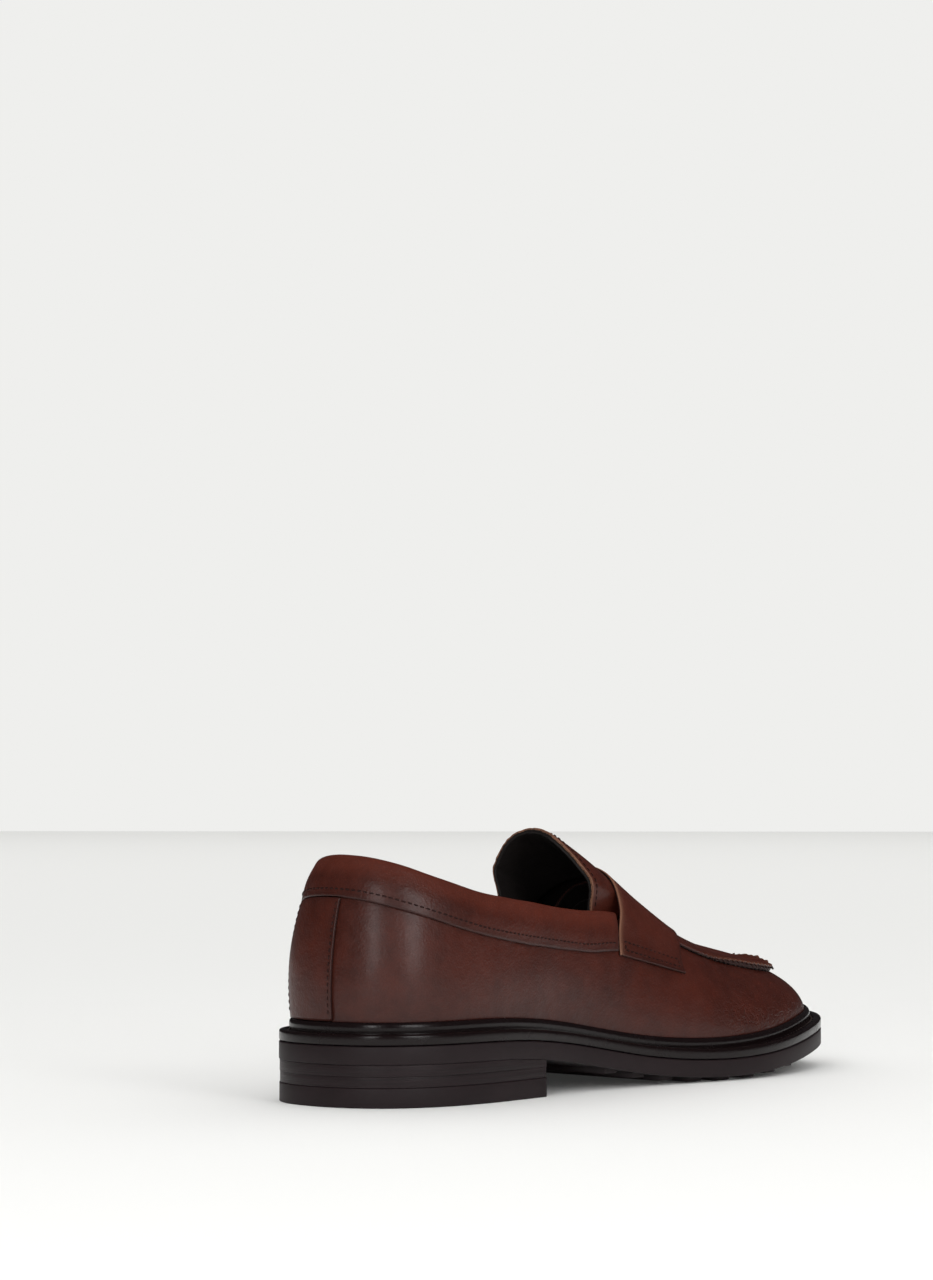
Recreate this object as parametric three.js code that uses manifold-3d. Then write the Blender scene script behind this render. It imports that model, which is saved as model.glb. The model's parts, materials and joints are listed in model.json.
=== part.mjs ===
// A right-foot penny loafer on a storm welt, a rubber sole and a stacked heel, as separate pieces.
// Millimetres. +X is the outer side of the foot, +Y runs from heel to toe, +Z is up, and the shoe
// stands on z = 0 with the origin under the middle of its outline.
import * as THREE from "three";
import { mergeVertices } from "three/addons/utils/BufferGeometryUtils.js";
import Module from "manifold-3d";

// ---------------------------------------------------------------- driving dimensions, in mm
const SOLE_LENGTH = 300; // heel to toe, over the welt
const SOLE_WIDTH = 110; // over the welt at the ball
const GLUE_GAP = 0.3; // between layers that are glued face to face
const OVERLAY_GAP = 0.5; // under a piece that is sewn on top of a curved one

const TOP_LIFT = 7.5; // rubber heel piece that meets the ground
const HEEL_SEAT = 16; // ground to the outsole's underside at the heel
const HEEL_LENGTH = 88; // back of the heel to its breast
const HEEL_TAPER = 0.6; // each leather lift steps in by this much
const OUTSOLE_EDGE = 7; // thickness of the rubber outsole at its edge
const LUG_HEIGHT = 1.8; // tread bars under the sole
const LUG_LENGTH = 7; // of one tread bar, heel to toe
const LUG_PITCH = 15;
const LUG_INSET = 4; // edge of the sole to the ends of the bars
const LUGS_BEHIND = 4; // bars on each side of the one that stands on the ground
const LUGS_AHEAD = 5;

const WELT_THICKNESS = 4.1;
const GROOVE_DEPTH = 1.3; // stitching groove between the welt's rim and its bead
const GROOVE_WIDTH = 1.5;
const BEAD_HEIGHT = 4.2; // storm bead above the welt's rim
const BEAD_WIDTH = 1.9;
const WELT_REACH = 6.5; // how far the welt runs in under the upper

const UPPER_INSET = 7.2; // edge of the sole to the upper's foot, forepart
const HEEL_INSET = 6.2; // the same round the heel

const LEATHER = 1.6; // vamp and plug
const OVERLAY = 1.3; // strap, collar, heel strip and tongue
const LINING = 1.0;
const COUNTER = 1.5; // heel stiffener
const PUFF = 1.2; // toe stiffener

const INSOLE = 2.7;
const INSOLE_PLAY = 0.5; // insole's edge to the lining
const HEEL_PAD = 2.0;
const PAD_INSET = 3; // insole's edge to the pad's edge
const SOCK = 1.2;
const SHANK_WIDTH = 14;
const SHANK_THICKNESS = 1.6;
const SHANK_LENGTH = 108;
const NAIL_RADIUS = 1.0;
const NAIL_HEAD_RADIUS = 2.2;
const NAIL_HEAD = 0.9;
const NAIL_TIP = 3.5; // lowest point of a nail above the ground
const NAIL_INSET = 19; // edge of the sole to the row of nails

const COLLAR_DEPTH = 17; // outer leg of the collar band
const COLLAR_LINING_DEPTH = 9.5; // inner leg
const COLLAR_FOLD = 3.6; // vamp's edge below the topline
const COLLAR_LAP = 2.5; // collar's inner leg over the lining's edge
const TONGUE_CLEARANCE = 1.6; // tongue's tucked sides to the collar
const PLUG_LIP = 1.5; // raised rim of the plug at its sides
const PLUG_FRONT_LIP = 3.0; // the same at its front
const THREAD_WIDTH = 0.8;
const THREAD_HEIGHT = 0.5;
const STITCH_MARGIN = 2.0; // row of stitches to the edge it holds
const PENNY_SLOT = { length: 24, width: 5.5 };

// ---------------------------------------------------------------- the foot's shape
// Outline of the sole as spline handles: back of the heel, up the outer side, round the toe, back.
const OUTLINE_HANDLES = [
  [0, -153], [27.5, -146], [43, -118], [43, -80], [40, -42],
  [43, 0], [52, 38], [55, 72], [46, 108], [28.5, 140],
  [-8, 155], [-40, 138], [-55, 104], [-57, 66], [-48, 28],
  [-36, -10], [-33, -50], [-37, -88], [-37, -122], [-25, -147],
];
// Each list below is spread evenly from the back of the heel to the tip of the toe.
const SOLE_CURVE = [16, 16, 16, 11.5, 4, 1, 3, 8.5, 11]; // relative rise of the outsole's underside
const RIDGE_HEIGHT = [88.6, 88.6, 87.6, 85, 79, 45.1, 37.8, 19.1, 17.6]; // middle line over the welt
const RIDGE_SIDE = [1.2, 0.2, -1.8, -1.8, -2.8]; // middle line's offset towards the outer side
const FULLNESS = [2.4, 2.45, 2.4, 2.05, 1.87, 1.8, 1.96]; // exponent of the cross-section's curve
const BULGE = [1.7, 2.2, 2, 1.5, 1.5, 1.1, 1]; // how far the wall swells past its foot
const RIDGE_REACH = [0.64, 0.64, 0.69, 0.69]; // ridge's length against the outline's
// These are spread over the foot opening, and over the plug's side from its back to its front.
const TOPLINE_HEIGHT = [67.1, 58.2, 50.4, 48.4, 49, 52, 52.7]; // edge of the opening over the welt
const TOPLINE_LENGTH = 180;
const PLUG_SEAM = [ // how far up the wall the plug's seam lies
  0.5, 0.507, 0.525, 0.541, 0.543, 0.531, 0.506, 0.488, 0.482, 0.54, 0.615, 0.66, 0.677,
];

// Places round the outline: 0 is the back of the heel, 0.5 the toe, and 1 - t the inner side.
const STATIONS = 80;
const STRIP_FROM = -4 / STATIONS;
const STRIP_TO = 1 / STATIONS;
const STRAP_TAB = [19 / STATIONS, 23 / STATIONS]; // strap's back and front edge at its stitched ends
const STRAP_TOP = [21 / STATIONS, 27.6 / STATIONS]; // the same over the middle of the foot
const STRAP_END_LEVEL = 0.28; // how far up the wall the strap's ends lie
const STRAP_END_RISE = 0.045; // the ends' lower edge rises this much towards the toe
const COLLAR_END = 19.6 / STATIONS;
const COLLAR_TO_STRAP = 0.12 / STATIONS; // between the collar's ends and the strap
const TONGUE_BACK = { outer: 18.9 / STATIONS, middle: 17.05 / STATIONS, inner: 17.5 / STATIONS };
const TONGUE_FRONT = [20.1 / STATIONS, 21.6 / STATIONS];
const TONGUE_LOW = 0.43; // how far up the wall its tucked sides reach down to
const TONGUE_TUCK = [0.46, 0.6]; // levels between which it comes out over the collar
const PLUG_BACK = 22.2 / STATIONS;
const PLUG_ALLOWANCE = 0.03; // the vamp's edge runs this far under the plug
const BACK_SEAM = 0.0006; // half of the closed back seam under the heel strip
const COUNTER_END = 10 / STATIONS;
const COUNTER_LEVEL = 0.27; // how far up the wall the heel stiffener stands
const PUFF_START = 33 / STATIONS;
const PUFF_LEVEL = 0.42;
const LINING_SPLIT = 23 / STATIONS;

const wasm = await Module();
wasm.setup();

// ---------------------------------------------------------------- small maths
const clamp01 = (x) => Math.min(1, Math.max(0, x));
const mix = (a, b, k) => a + (b - a) * k;
const ease = (from, to, x) => {
  const k = clamp01((x - from) / (to - from));
  return k * k * (3 - 2 * k);
};
const range = (n, make) => Array.from({ length: n }, (_, i) => make(i));
const spread = (from, to, n) => range(n, (i) => mix(from, to, i / (n - 1)));

// Weights of a uniform cubic B-spline's four handles.
function weights(f) {
  return [
    (1 - f) ** 3 / 6,
    (3 * f ** 3 - 6 * f * f + 4) / 6,
    (-3 * f ** 3 + 3 * f * f + 3 * f + 1) / 6,
    f ** 3 / 6,
  ];
}

// A smooth value along an evenly spread list, k from 0 to 1.
function along(list, k) {
  const x = clamp01(k) * (list.length - 1);
  const i = Math.min(Math.floor(x), list.length - 2);
  const end = list.length - 1;
  const handle = (j) => (j < 0 ? 2 * list[0] - list[1] : j > end ? 2 * list[end] - list[end - 1] : list[j]);
  return weights(x - i).reduce((sum, weight, j) => sum + weight * handle(i + j - 1), 0);
}

function rawOutline(t) {
  const n = OUTLINE_HANDLES.length;
  const x = (t - Math.floor(t)) * n;
  const i = Math.floor(x);
  const point = new THREE.Vector2();
  weights(x - i).forEach((weight, j) => {
    const [hx, hy] = OUTLINE_HANDLES[(i + j - 1 + n) % n];
    point.x += weight * hx;
    point.y += weight * hy;
  });
  return point;
}

const rawBox = new THREE.Box2().setFromPoints(range(800, (i) => rawOutline(i / 800)));
const outlineScale = new THREE.Vector2(SOLE_WIDTH, SOLE_LENGTH).divide(rawBox.getSize(new THREE.Vector2()));
const outlineMiddle = rawBox.getCenter(new THREE.Vector2());
const HEEL_BACK = -SOLE_LENGTH / 2;
const BREAST = HEEL_BACK + HEEL_LENGTH;

const edgePoint = (t) => rawOutline(t).sub(outlineMiddle).multiply(outlineScale);

// Outward normal of the sole's outline.
function edgeNormal(t) {
  const d = edgePoint(t + 1e-4).sub(edgePoint(t - 1e-4));
  return new THREE.Vector2(d.y, -d.x).normalize();
}

const outline = (t, inset = 0) => edgePoint(t).addScaledVector(edgeNormal(t), -inset);
const lengthwise = (y) => (y - HEEL_BACK) / SOLE_LENGTH;

// The underside of the sole: level at the heel seat, and a bar's height off the ground at its lowest.
const lengths = spread(0, 1, 301);
const lowest = lengths.reduce((best, k) => (along(SOLE_CURVE, k) < along(SOLE_CURVE, best) ? k : best));
const LOWEST_Y = mix(HEEL_BACK, HEEL_BACK + SOLE_LENGTH, lowest);
const curveDepth = SOLE_CURVE[0] - along(SOLE_CURVE, lowest);
const soleRise = (y) =>
  mix(LUG_HEIGHT, HEEL_SEAT, (along(SOLE_CURVE, lengthwise(y)) - along(SOLE_CURVE, lowest)) / curveDepth);
const outsoleTop = (y) => soleRise(y) + OUTSOLE_EDGE;
const weltBottom = (y) => outsoleTop(y) + GLUE_GAP;
const weltTop = (y) => weltBottom(y) + WELT_THICKNESS;
const insoleBottom = (y) => weltTop(y) + GLUE_GAP;
const insoleTop = (y) => insoleBottom(y) + INSOLE;
const upperInset = (y) => mix(HEEL_INSET, UPPER_INSET, clamp01((lengthwise(y) - 0.25) / 0.3));
const toplineHeight = (y) => insoleBottom(y) + along(TOPLINE_HEIGHT, (y - HEEL_BACK) / TOPLINE_LENGTH);

// How far along the outline the heel's back and the toe's tip are.
const outlineSteps = range(4001, (i) => i / 4000);
const furthest = (sign) =>
  outlineSteps.reduce((best, t) => (sign * edgePoint(t).y > sign * edgePoint(best).y ? t : best), 0.5);
const TIP = furthest(1);
const BACK = furthest(-1) - 1;

// The place on the other side of the foot that is as far forward as t.
function across(t) {
  const onOuterSide = t >= BACK && t <= TIP;
  let [rear, front] = onOuterSide ? [BACK + 1, TIP] : [BACK, TIP];
  for (let i = 0; i < 40; i++) {
    const middle = (rear + front) / 2;
    if (edgePoint(middle).y < edgePoint(t).y) rear = middle;
    else front = middle;
  }
  return t === TIP ? TIP : (rear + front) / 2;
}

// The upper's foot, where the wall starts, and what its wall rises to.
function wallAt(t) {
  const edge = edgePoint(t);
  const normal = edgeNormal(t);
  const foot = edge.clone().addScaledVector(normal, -upperInset(edge.y));
  const k = lengthwise(foot.y);
  const ridgeY = foot.y * along(RIDGE_REACH, k);
  return {
    foot,
    normal,
    footZ: insoleBottom(foot.y),
    ridge: new THREE.Vector2(along(RIDGE_SIDE, k), ridgeY),
    ridgeZ: insoleBottom(ridgeY) + along(RIDGE_HEIGHT, lengthwise(ridgeY)),
    fullness: along(FULLNESS, k),
    bulge: along(BULGE, k),
  };
}

// A point on the outer face of the upper: t goes round the outline, w from foot (0) to ridge (1).
function skin(t, w) {
  const wall = wallAt(t);
  const angle = (w * Math.PI) / 2;
  const inward = 1 - Math.max(Math.cos(angle), 1e-9) ** (2 / wall.fullness);
  const up = Math.max(Math.sin(angle), 1e-9) ** (2 / wall.fullness);
  const swell = wall.bulge * 6.75 * up * (1 - up) ** 2; // 6.75 makes the largest swell equal the bulge
  const settle = inward + inward ** 4 * (1 - inward); // meets the ridge squarely, so it has no crease
  const x = mix(wall.foot.x, wall.ridge.x, inward) + wall.normal.x * swell;
  const y = mix(wall.foot.y, wall.ridge.y, settle) + wall.normal.y * swell;
  return new THREE.Vector3(x, y, mix(wall.footZ, wall.ridgeZ, up));
}

// The level w at which the wall at t reaches height z.
function levelAt(t, z) {
  const wall = wallAt(t);
  const up = clamp01((z - wall.footZ) / (wall.ridgeZ - wall.footZ));
  return (Math.asin(up ** (wall.fullness / 2)) * 2) / Math.PI;
}

function skinNormal(t, w) {
  const step = 1e-3;
  if (w > 1 - 2 * step) {
    const run = skin(t + step, 1).sub(skin(t - step, 1));
    return new THREE.Vector3(0, -run.z, run.y).multiplyScalar(run.y < 0 ? -1 : 1).normalize();
  }
  const round = skin(t + step, w).sub(skin(t - step, w));
  const rise = skin(t, w + step).sub(skin(t, Math.max(w - step, 0)));
  return round.cross(rise).normalize();
}

// The upper's surface moved out (+) or in (-) along its normal.
const layer = (t, w, out) => skin(t, w).addScaledVector(skinNormal(t, w), out);

const stationY = (t) => edgePoint(t).y;
const topline = (t) => toplineHeight(stationY(t));

// How far inside the upper's face the lining lies: deeper over the counter and the toe puff.
function liningDepth(t) {
  const y = stationY(t);
  const counter = ease(stationY(COUNTER_END + 2 / STATIONS), stationY(COUNTER_END + 0.3 / STATIONS), y);
  const puff = ease(stationY(PUFF_START - 2 / STATIONS), stationY(PUFF_START - 0.3 / STATIONS), y);
  return LEATHER + OVERLAY_GAP + (COUNTER + GLUE_GAP) * counter + (PUFF + GLUE_GAP) * puff;
}

// Levels of the plug's seam and of the vamp's upper edge. Both take the outer side's station.
const plugSeam = (t) => along(PLUG_SEAM, (t - PLUG_BACK) / (TIP - PLUG_BACK));
const outerStation = (t) => (t > TIP || t < BACK ? across(t) : t);
function vampEdge(t) {
  const rear = levelAt(t, topline(t) - COLLAR_FOLD);
  const front = plugSeam(outerStation(t)) + PLUG_ALLOWANCE;
  return mix(rear, front, ease(stationY(STRAP_TAB[0]), stationY(STRAP_TAB[1]), stationY(t)));
}

// ---------------------------------------------------------------- solids
// A closed surface through rings of the same even number of points. Open ends are capped across.
function loft(rings, { closed = false, capStart = !closed, capEnd = !closed } = {}) {
  const n = rings.length;
  const m = rings[0].length;
  const index = [];
  const id = (i, j) => (i % n) * m + (j % m);
  const quad = (a, b, c, d) => index.push(a, b, c, a, c, d);
  for (let i = 0; i < (closed ? n : n - 1); i++) {
    for (let j = 0; j < m; j++) quad(id(i, j), id(i, j + 1), id(i + 1, j + 1), id(i + 1, j));
  }
  const cap = (i, turn) => {
    for (let j = 0; j < m / 2 - 1; j++) {
      const corners = [id(i, j), id(i, m - 1 - j), id(i, m - 2 - j), id(i, j + 1)];
      quad(...(turn ? corners.reverse() : corners));
    }
  };
  if (capStart) cap(0, false);
  if (capEnd) cap(n - 1, true);
  const geometry = new THREE.BufferGeometry();
  const numbers = rings.flat().flatMap((p) => p.toArray());
  geometry.setAttribute("position", new THREE.Float32BufferAttribute(numbers, 3));
  geometry.setIndex(index);
  return facingOut(mergeVertices(geometry, 1e-3));
}

function facingOut(geometry) {
  const p = geometry.attributes.position;
  const index = geometry.index.array;
  const corner = (i) => new THREE.Vector3().fromBufferAttribute(p, index[i]);
  let volume = 0;
  for (let i = 0; i < index.length; i += 3) volume += corner(i).dot(corner(i + 1).cross(corner(i + 2)));
  if (volume < 0) geometry.setIndex(Array.from(index).reverse());
  return geometry;
}

function solidOf(geometry) {
  const bare = geometry.clone();
  bare.deleteAttribute("normal");
  bare.deleteAttribute("uv");
  const merged = mergeVertices(bare, 1e-3);
  return new wasm.Manifold(
    new wasm.Mesh({
      numProp: 3,
      vertProperties: merged.attributes.position.array,
      triVerts: new Uint32Array(merged.index.array),
    }),
  );
}

function geometryOf(solid) {
  const mesh = solid.getMesh();
  const geometry = new THREE.BufferGeometry();
  geometry.setAttribute("position", new THREE.BufferAttribute(new Float32Array(mesh.vertProperties), 3));
  geometry.setIndex(Array.from(mesh.triVerts));
  return geometry;
}

// Half-widths of the outline, pulled in by inset(y), as a function of y.
function widthsAt(inset) {
  const side = (from, to) =>
    spread(from, to, 160).map((t) => outline(t, inset(edgePoint(t).y))).sort((a, b) => a.y - b.y);
  const outer = side(BACK, TIP);
  const inner = side(TIP, BACK + 1);
  const read = (points, y) => {
    const i = Math.min(Math.max(points.findIndex((p) => p.y > y), 1), points.length - 1);
    const [a, b] = [points[i - 1], points[i]];
    return mix(a.x, b.x, clamp01((y - a.y) / (b.y - a.y || 1)));
  };
  const back = Math.max(outer[0].y, inner[0].y);
  const front = Math.min(outer.at(-1).y, inner.at(-1).y);
  return { back, front, outer: (y) => read(outer, y), inner: (y) => read(inner, y) };
}

// A plate that follows the outline from one y to another. Rounded ends get closer cuts.
function plate({ inset, bottom, top, from = -Infinity, to = Infinity, cuts = 26 }) {
  const insetAt = typeof inset === "function" ? inset : () => inset;
  const widths = widthsAt(insetAt);
  const END = 0.35; // the last cut stands this far inside a rounded end
  const back = Math.max(from, widths.back + END);
  const front = Math.min(to, widths.front - END);
  const eased = (k) => {
    const low = from > widths.back ? 0 : 1;
    const high = to < widths.front ? 0 : 1;
    const start = low ? 1 - Math.cos((k * Math.PI) / 2) : k;
    const end = high ? Math.sin((k * Math.PI) / 2) : k;
    return mix(start, end, k);
  };
  const rings = range(cuts, (i) => {
    const y = mix(back, front, eased(i / (cuts - 1)));
    const outer = widths.outer(y);
    const inner = widths.inner(y);
    return [
      new THREE.Vector3(outer, y, top(y)),
      new THREE.Vector3(inner, y, top(y)),
      new THREE.Vector3(inner, y, bottom(y)),
      new THREE.Vector3(outer, y, bottom(y)),
    ];
  });
  return loft(rings);
}

// A sheet on the wall between two levels, from station to station round the outline.
function wallSheet(stations, low, high, out, thickness, rows = 8) {
  return loft(
    stations.map((t) => {
      const levels = spread(low(t), high(t), rows);
      const face = levels.map((w) => layer(t, w, out(t, w)));
      const back = levels.map((w) => layer(t, w, out(t, w) - thickness)).reverse();
      return [...face, ...back];
    }),
  );
}

// A sheet that arches over the foot. Each station is on the outer side and has its partner across.
function archSheet(stations, low, out, thickness, columns = 9, toTip = false) {
  const ring = (t) => {
    const partner = across(t);
    const levels = spread(low(t), 1, columns);
    const inner = levels.slice(0, -1).reverse();
    const places = [...levels.map((w) => [t, w]), ...inner.map((w) => [partner, w])];
    const face = places.map(([s, w]) => layer(s, w, out(t, w)));
    const back = places.map(([s, w]) => layer(s, w, out(t, w) - thickness)).reverse();
    return [...face, ...back];
  };
  return loft(stations.map(ring), { capEnd: !toTip });
}

// A flat sewing thread through places {point, normal}, lying on top of them.
function thread(places, closed = false) {
  const n = places.length;
  const rings = places.map(({ point, normal }, i) => {
    const before = places[closed ? (i + n - 1) % n : Math.max(i - 1, 0)].point;
    const after = places[closed ? (i + 1) % n : Math.min(i + 1, n - 1)].point;
    const side = after.clone().sub(before).cross(normal).setLength(THREAD_WIDTH / 2);
    const lift = normal.clone().setLength(THREAD_HEIGHT);
    return [
      point.clone().add(side),
      point.clone().add(side).add(lift),
      point.clone().sub(side).add(lift),
      point.clone().sub(side),
    ];
  });
  return loft(rings, { closed });
}

const threadPlace = (t, w, out) => ({ point: layer(t, w, out + GLUE_GAP), normal: skinNormal(t, w) });

// Evenly numbered stations from one place to another, kept on the grid where both ends are on it.
const stationsBetween = (from, to) => spread(from, to, Math.max(2, Math.round((to - from) * STATIONS) + 1));

// ---------------------------------------------------------------- the upper
function vamp() {
  const stations = stationsBetween(0, 1);
  stations[0] = BACK_SEAM;
  stations[stations.length - 1] = 1 - BACK_SEAM;
  return wallSheet(stations, () => 0, vampEdge, () => 0, LEATHER, 8);
}

// Stations along the outer side up to the tip, closer where the outline turns in.
const toTip = (from) => [...stationsBetween(from, 38 / STATIONS), ...spread(38.8 / STATIONS, TIP, 4)];
const plugStations = () => toTip(PLUG_BACK);

// The plug's edge stands up as a rim in front of the strap, highest across the toe.
function plugOut(t, w) {
  const lip = mix(PLUG_LIP, PLUG_FRONT_LIP, ease(34, 38, t * STATIONS)) * ease(27, 30, t * STATIONS);
  return OVERLAY_GAP + LEATHER + lip * (1 - ease(0, 0.1, w - plugSeam(t)));
}
const plug = () => archSheet(plugStations(), plugSeam, plugOut, LEATHER, 8, true);

// Offset of the strap's outer face: on the vamp at its ends, over the plug in the middle.
const strapOut = (w) => OVERLAY_GAP + OVERLAY + (LEATHER + OVERLAY_GAP) * ease(0.35, 0.48, w);
const strapPlace = (k, w) => {
  const back = mix(STRAP_TAB[0], STRAP_TOP[0], ease(0.2, 0.95, w));
  const front = mix(STRAP_TAB[1], STRAP_TOP[1], ease(0.35, 1, w));
  return mix(back, front, k);
};

function pennyStrap() {
  const COLUMNS = 10;
  const ring = (k) => {
    const end = STRAP_END_LEVEL + STRAP_END_RISE * k;
    const levels = spread(end, 1, COLUMNS);
    const outer = levels.map((w) => [strapPlace(k, w), w]);
    const inner = outer.slice(0, -1).reverse().map(([t, w]) => [across(t), w]);
    const places = [...outer, ...inner];
    const face = places.map(([t, w]) => layer(t, w, strapOut(w)));
    const back = places.map(([t, w]) => layer(t, w, strapOut(w) - OVERLAY)).reverse();
    return [...face, ...back];
  };
  const strap = solidOf(loft(spread(0, 1, 6).map(ring)));
  return geometryOf(strap.subtract(solidOf(pennySlot())));
}

// A lens-shaped slot across the middle of the strap, cut straight down.
function pennySlot() {
  const middle = skin(strapPlace(0.5, 1), 1);
  const { length, width } = PENNY_SLOT;
  const lens = new THREE.Shape();
  lens.moveTo(-length / 2, 0);
  lens.quadraticCurveTo(0, width, length / 2, 0);
  lens.quadraticCurveTo(0, -width, -length / 2, 0);
  const geometry = new THREE.ExtrudeGeometry(lens, { depth: 40, bevelEnabled: false, curveSegments: 6 });
  return geometry.translate(middle.x, middle.y, middle.z - 20);
}

// The tongue lies over the instep and tucks its sides inside the collar.
function tongueOut(t, w) {
  const tucked = -(liningDepth(t) + LINING + OVERLAY + GLUE_GAP + TONGUE_CLEARANCE);
  return mix(tucked, OVERLAY_GAP + OVERLAY, ease(TONGUE_TUCK[0], TONGUE_TUCK[1], w));
}

// Its front edge runs straight across the foot, just inside the strap's rear edge.
function tonguePlace(k, w, side) {
  const back = mix(TONGUE_BACK[side], TONGUE_BACK.middle, ease(0.46, 1, w));
  const front = mix(TONGUE_FRONT[0], TONGUE_FRONT[1], ease(0.3, 0.95, w));
  return mix(back, front, k);
}

// Places [t, w, outer side's t] along the tongue at k, from its outer side over the middle to its inner.
function tongueRow(k, count, low = TONGUE_LOW) {
  const levels = spread(low, 1, count);
  const outer = levels.map((w) => [tonguePlace(k, w, "outer"), w]);
  const inner = levels.slice(0, -1).reverse().map((w) => [tonguePlace(k, w, "inner"), w]);
  return [...outer.map(([t, w]) => [t, w, t]), ...inner.map(([t, w]) => [across(t), w, t])];
}

function tongueSheet(out, thickness) {
  const ring = (k) => {
    const places = tongueRow(k, 11);
    const face = places.map(([t, w, outerT]) => layer(t, w, out(outerT, w)));
    const back = places.map(([t, w, outerT]) => layer(t, w, out(outerT, w) - thickness)).reverse();
    return [...face, ...back];
  };
  return loft(spread(0, 1, 6).map(ring));
}
const tongue = () => tongueSheet(tongueOut, OVERLAY);
const tongueLining = () => tongueSheet((t, w) => tongueOut(t, w) - OVERLAY - GLUE_GAP, LINING);

// The collar band folds over the topline: a long outer leg, a rounded top and a short inner leg.
// Its ends follow the strap's rear edge.
const COLLAR_SPAN = [across(COLLAR_END) - 1, COLLAR_END];
const collarStations = () => {
  const [inner, outer] = COLLAR_SPAN.map((t) => Math.trunc(t * STATIONS));
  return [COLLAR_SPAN[0], ...range(outer - inner + 1, (i) => (inner + i) / STATIONS), COLLAR_SPAN[1]];
};

function collarPlace(t, w) {
  const toStrap = strapPlace(0, w) - COLLAR_TO_STRAP - COLLAR_END;
  const END_RUN = 3 / STATIONS; // stretch over which the grid leans to the strap's edge
  const outer = ease(COLLAR_SPAN[1] - END_RUN, COLLAR_SPAN[1], t);
  const inner = ease(COLLAR_SPAN[0] + END_RUN, COLLAR_SPAN[0], t);
  return t + toStrap * (outer - inner);
}

const COLLAR_OUT = OVERLAY_GAP + OVERLAY;
const collarIn = (t) => -(liningDepth(t) + LINING + OVERLAY_GAP + OVERLAY);
const collarRadius = (t) => (COLLAR_OUT - collarIn(t)) / 2;

function collarRing(t) {
  const radius = collarRadius(t);
  const shoulder = levelAt(t, topline(t) - radius); // level where the fold starts
  const outerLevels = spread(levelAt(t, topline(t) - COLLAR_DEPTH), shoulder, 4);
  const innerLevels = spread(shoulder, levelAt(t, topline(t) - COLLAR_LINING_DEPTH), 3);
  const place = (w, out) => layer(collarPlace(t, w), w, out);
  const centre = place(shoulder, COLLAR_OUT - radius);
  const out = skinNormal(collarPlace(t, shoulder), shoulder);
  const up = place(shoulder + 0.01, 0).sub(place(shoulder, 0)).projectOnPlane(out).normalize();
  const fold = (r) =>
    [45, 90, 135].map((degrees) => {
      const a = THREE.MathUtils.degToRad(degrees);
      return centre.clone().addScaledVector(out, r * Math.cos(a)).addScaledVector(up, r * Math.sin(a));
    });
  const leg = (levels, face) => levels.map((w) => place(w, face));
  const face = [...leg(outerLevels, COLLAR_OUT), ...fold(radius), ...leg(innerLevels, collarIn(t))];
  const back = [
    ...leg(outerLevels, COLLAR_OUT - OVERLAY),
    ...fold(radius - OVERLAY),
    ...leg(innerLevels, collarIn(t) + OVERLAY),
  ];
  return [...face, ...back.reverse()];
}
const collar = () => loft(collarStations().map(collarRing));

// Foam between the vamp's inner face and the collar's inner leg, over the lining's edge.
function collarFoam() {
  const rings = collarStations().slice(2, -2).map((t) => {
    const low = levelAt(t, topline(t) - COLLAR_LINING_DEPTH + COLLAR_LAP + GLUE_GAP);
    const high = levelAt(t, topline(t) - COLLAR_FOLD);
    const face = -LEATHER - GLUE_GAP;
    const back = collarIn(t) + OVERLAY + OVERLAY_GAP;
    return [layer(t, low, face), layer(t, high, face), layer(t, high, back), layer(t, low, back)];
  });
  return loft(rings);
}

const stripTop = (t) => levelAt(t, topline(t) - COLLAR_DEPTH - OVERLAY_GAP);
const stripFoot = (t) => levelAt(t, insoleBottom(stationY(t)) + BEAD_HEIGHT + GLUE_GAP);
const stripOut = () => OVERLAY_GAP + OVERLAY;
const heelStrip = () =>
  wallSheet(stationsBetween(STRIP_FROM, STRIP_TO), stripFoot, stripTop, stripOut, OVERLAY, 7);

// A stiffener between the vamp and the lining, from just above the upper's foot to a level.
const stiffener = (from, to, level, thickness) =>
  wallSheet(stationsBetween(from, to), () => 0.005, () => level, () => -LEATHER - GLUE_GAP, thickness, 5);
const heelCounter = () => stiffener(-COUNTER_END, COUNTER_END, COUNTER_LEVEL, COUNTER);
const toePuff = () => stiffener(PUFF_START, 1 - PUFF_START, PUFF_LEVEL, PUFF);

// The lining's back half stops under the collar's inner leg, and its front half is one whole arch.
function quarterLining() {
  const split = LINING_SPLIT - 0.5 / STATIONS;
  const stations = stationsBetween(across(split) - 1, split);
  const below = COLLAR_LINING_DEPTH - COLLAR_LAP - COLLAR_FOLD;
  const high = (t) => levelAt(t, skin(t, vampEdge(t)).z - below);
  return wallSheet(stations, () => 0, high, (t) => -liningDepth(t), LINING, 6);
}

function vampLining() {
  const stations = [...spread(LINING_SPLIT, 38 / STATIONS, 9), ...spread(38.8 / STATIONS, TIP, 3)];
  return archSheet(stations, () => 0, (t) => -liningDepth(t), LINING, 11, true);
}

// ---------------------------------------------------------------- under the foot
const innerEdge = (extra) => (y) => upperInset(y) + extra;

// Solid of one nail grown by a clearance, with its tip down and its head in the insole.
function nail(place, grow = 0) {
  const y = place.y;
  const head = insoleTop(y);
  const profile = [
    [0, NAIL_TIP - grow],
    [NAIL_RADIUS + grow, NAIL_TIP + 1 - grow],
    [NAIL_RADIUS + grow, head - NAIL_HEAD - grow],
    [NAIL_HEAD_RADIUS + grow, head - NAIL_HEAD - grow],
    [NAIL_HEAD_RADIUS + grow, head + grow],
    [0, head + grow],
  ].map(([r, z]) => new THREE.Vector2(r, z));
  return new THREE.LatheGeometry(profile, 8).rotateX(Math.PI / 2).translate(place.x, place.y, 0);
}
const nailPlaces = [-0.105, -0.055, 0, 0.055, 0.105].map((t) => outline(t, NAIL_INSET));

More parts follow.
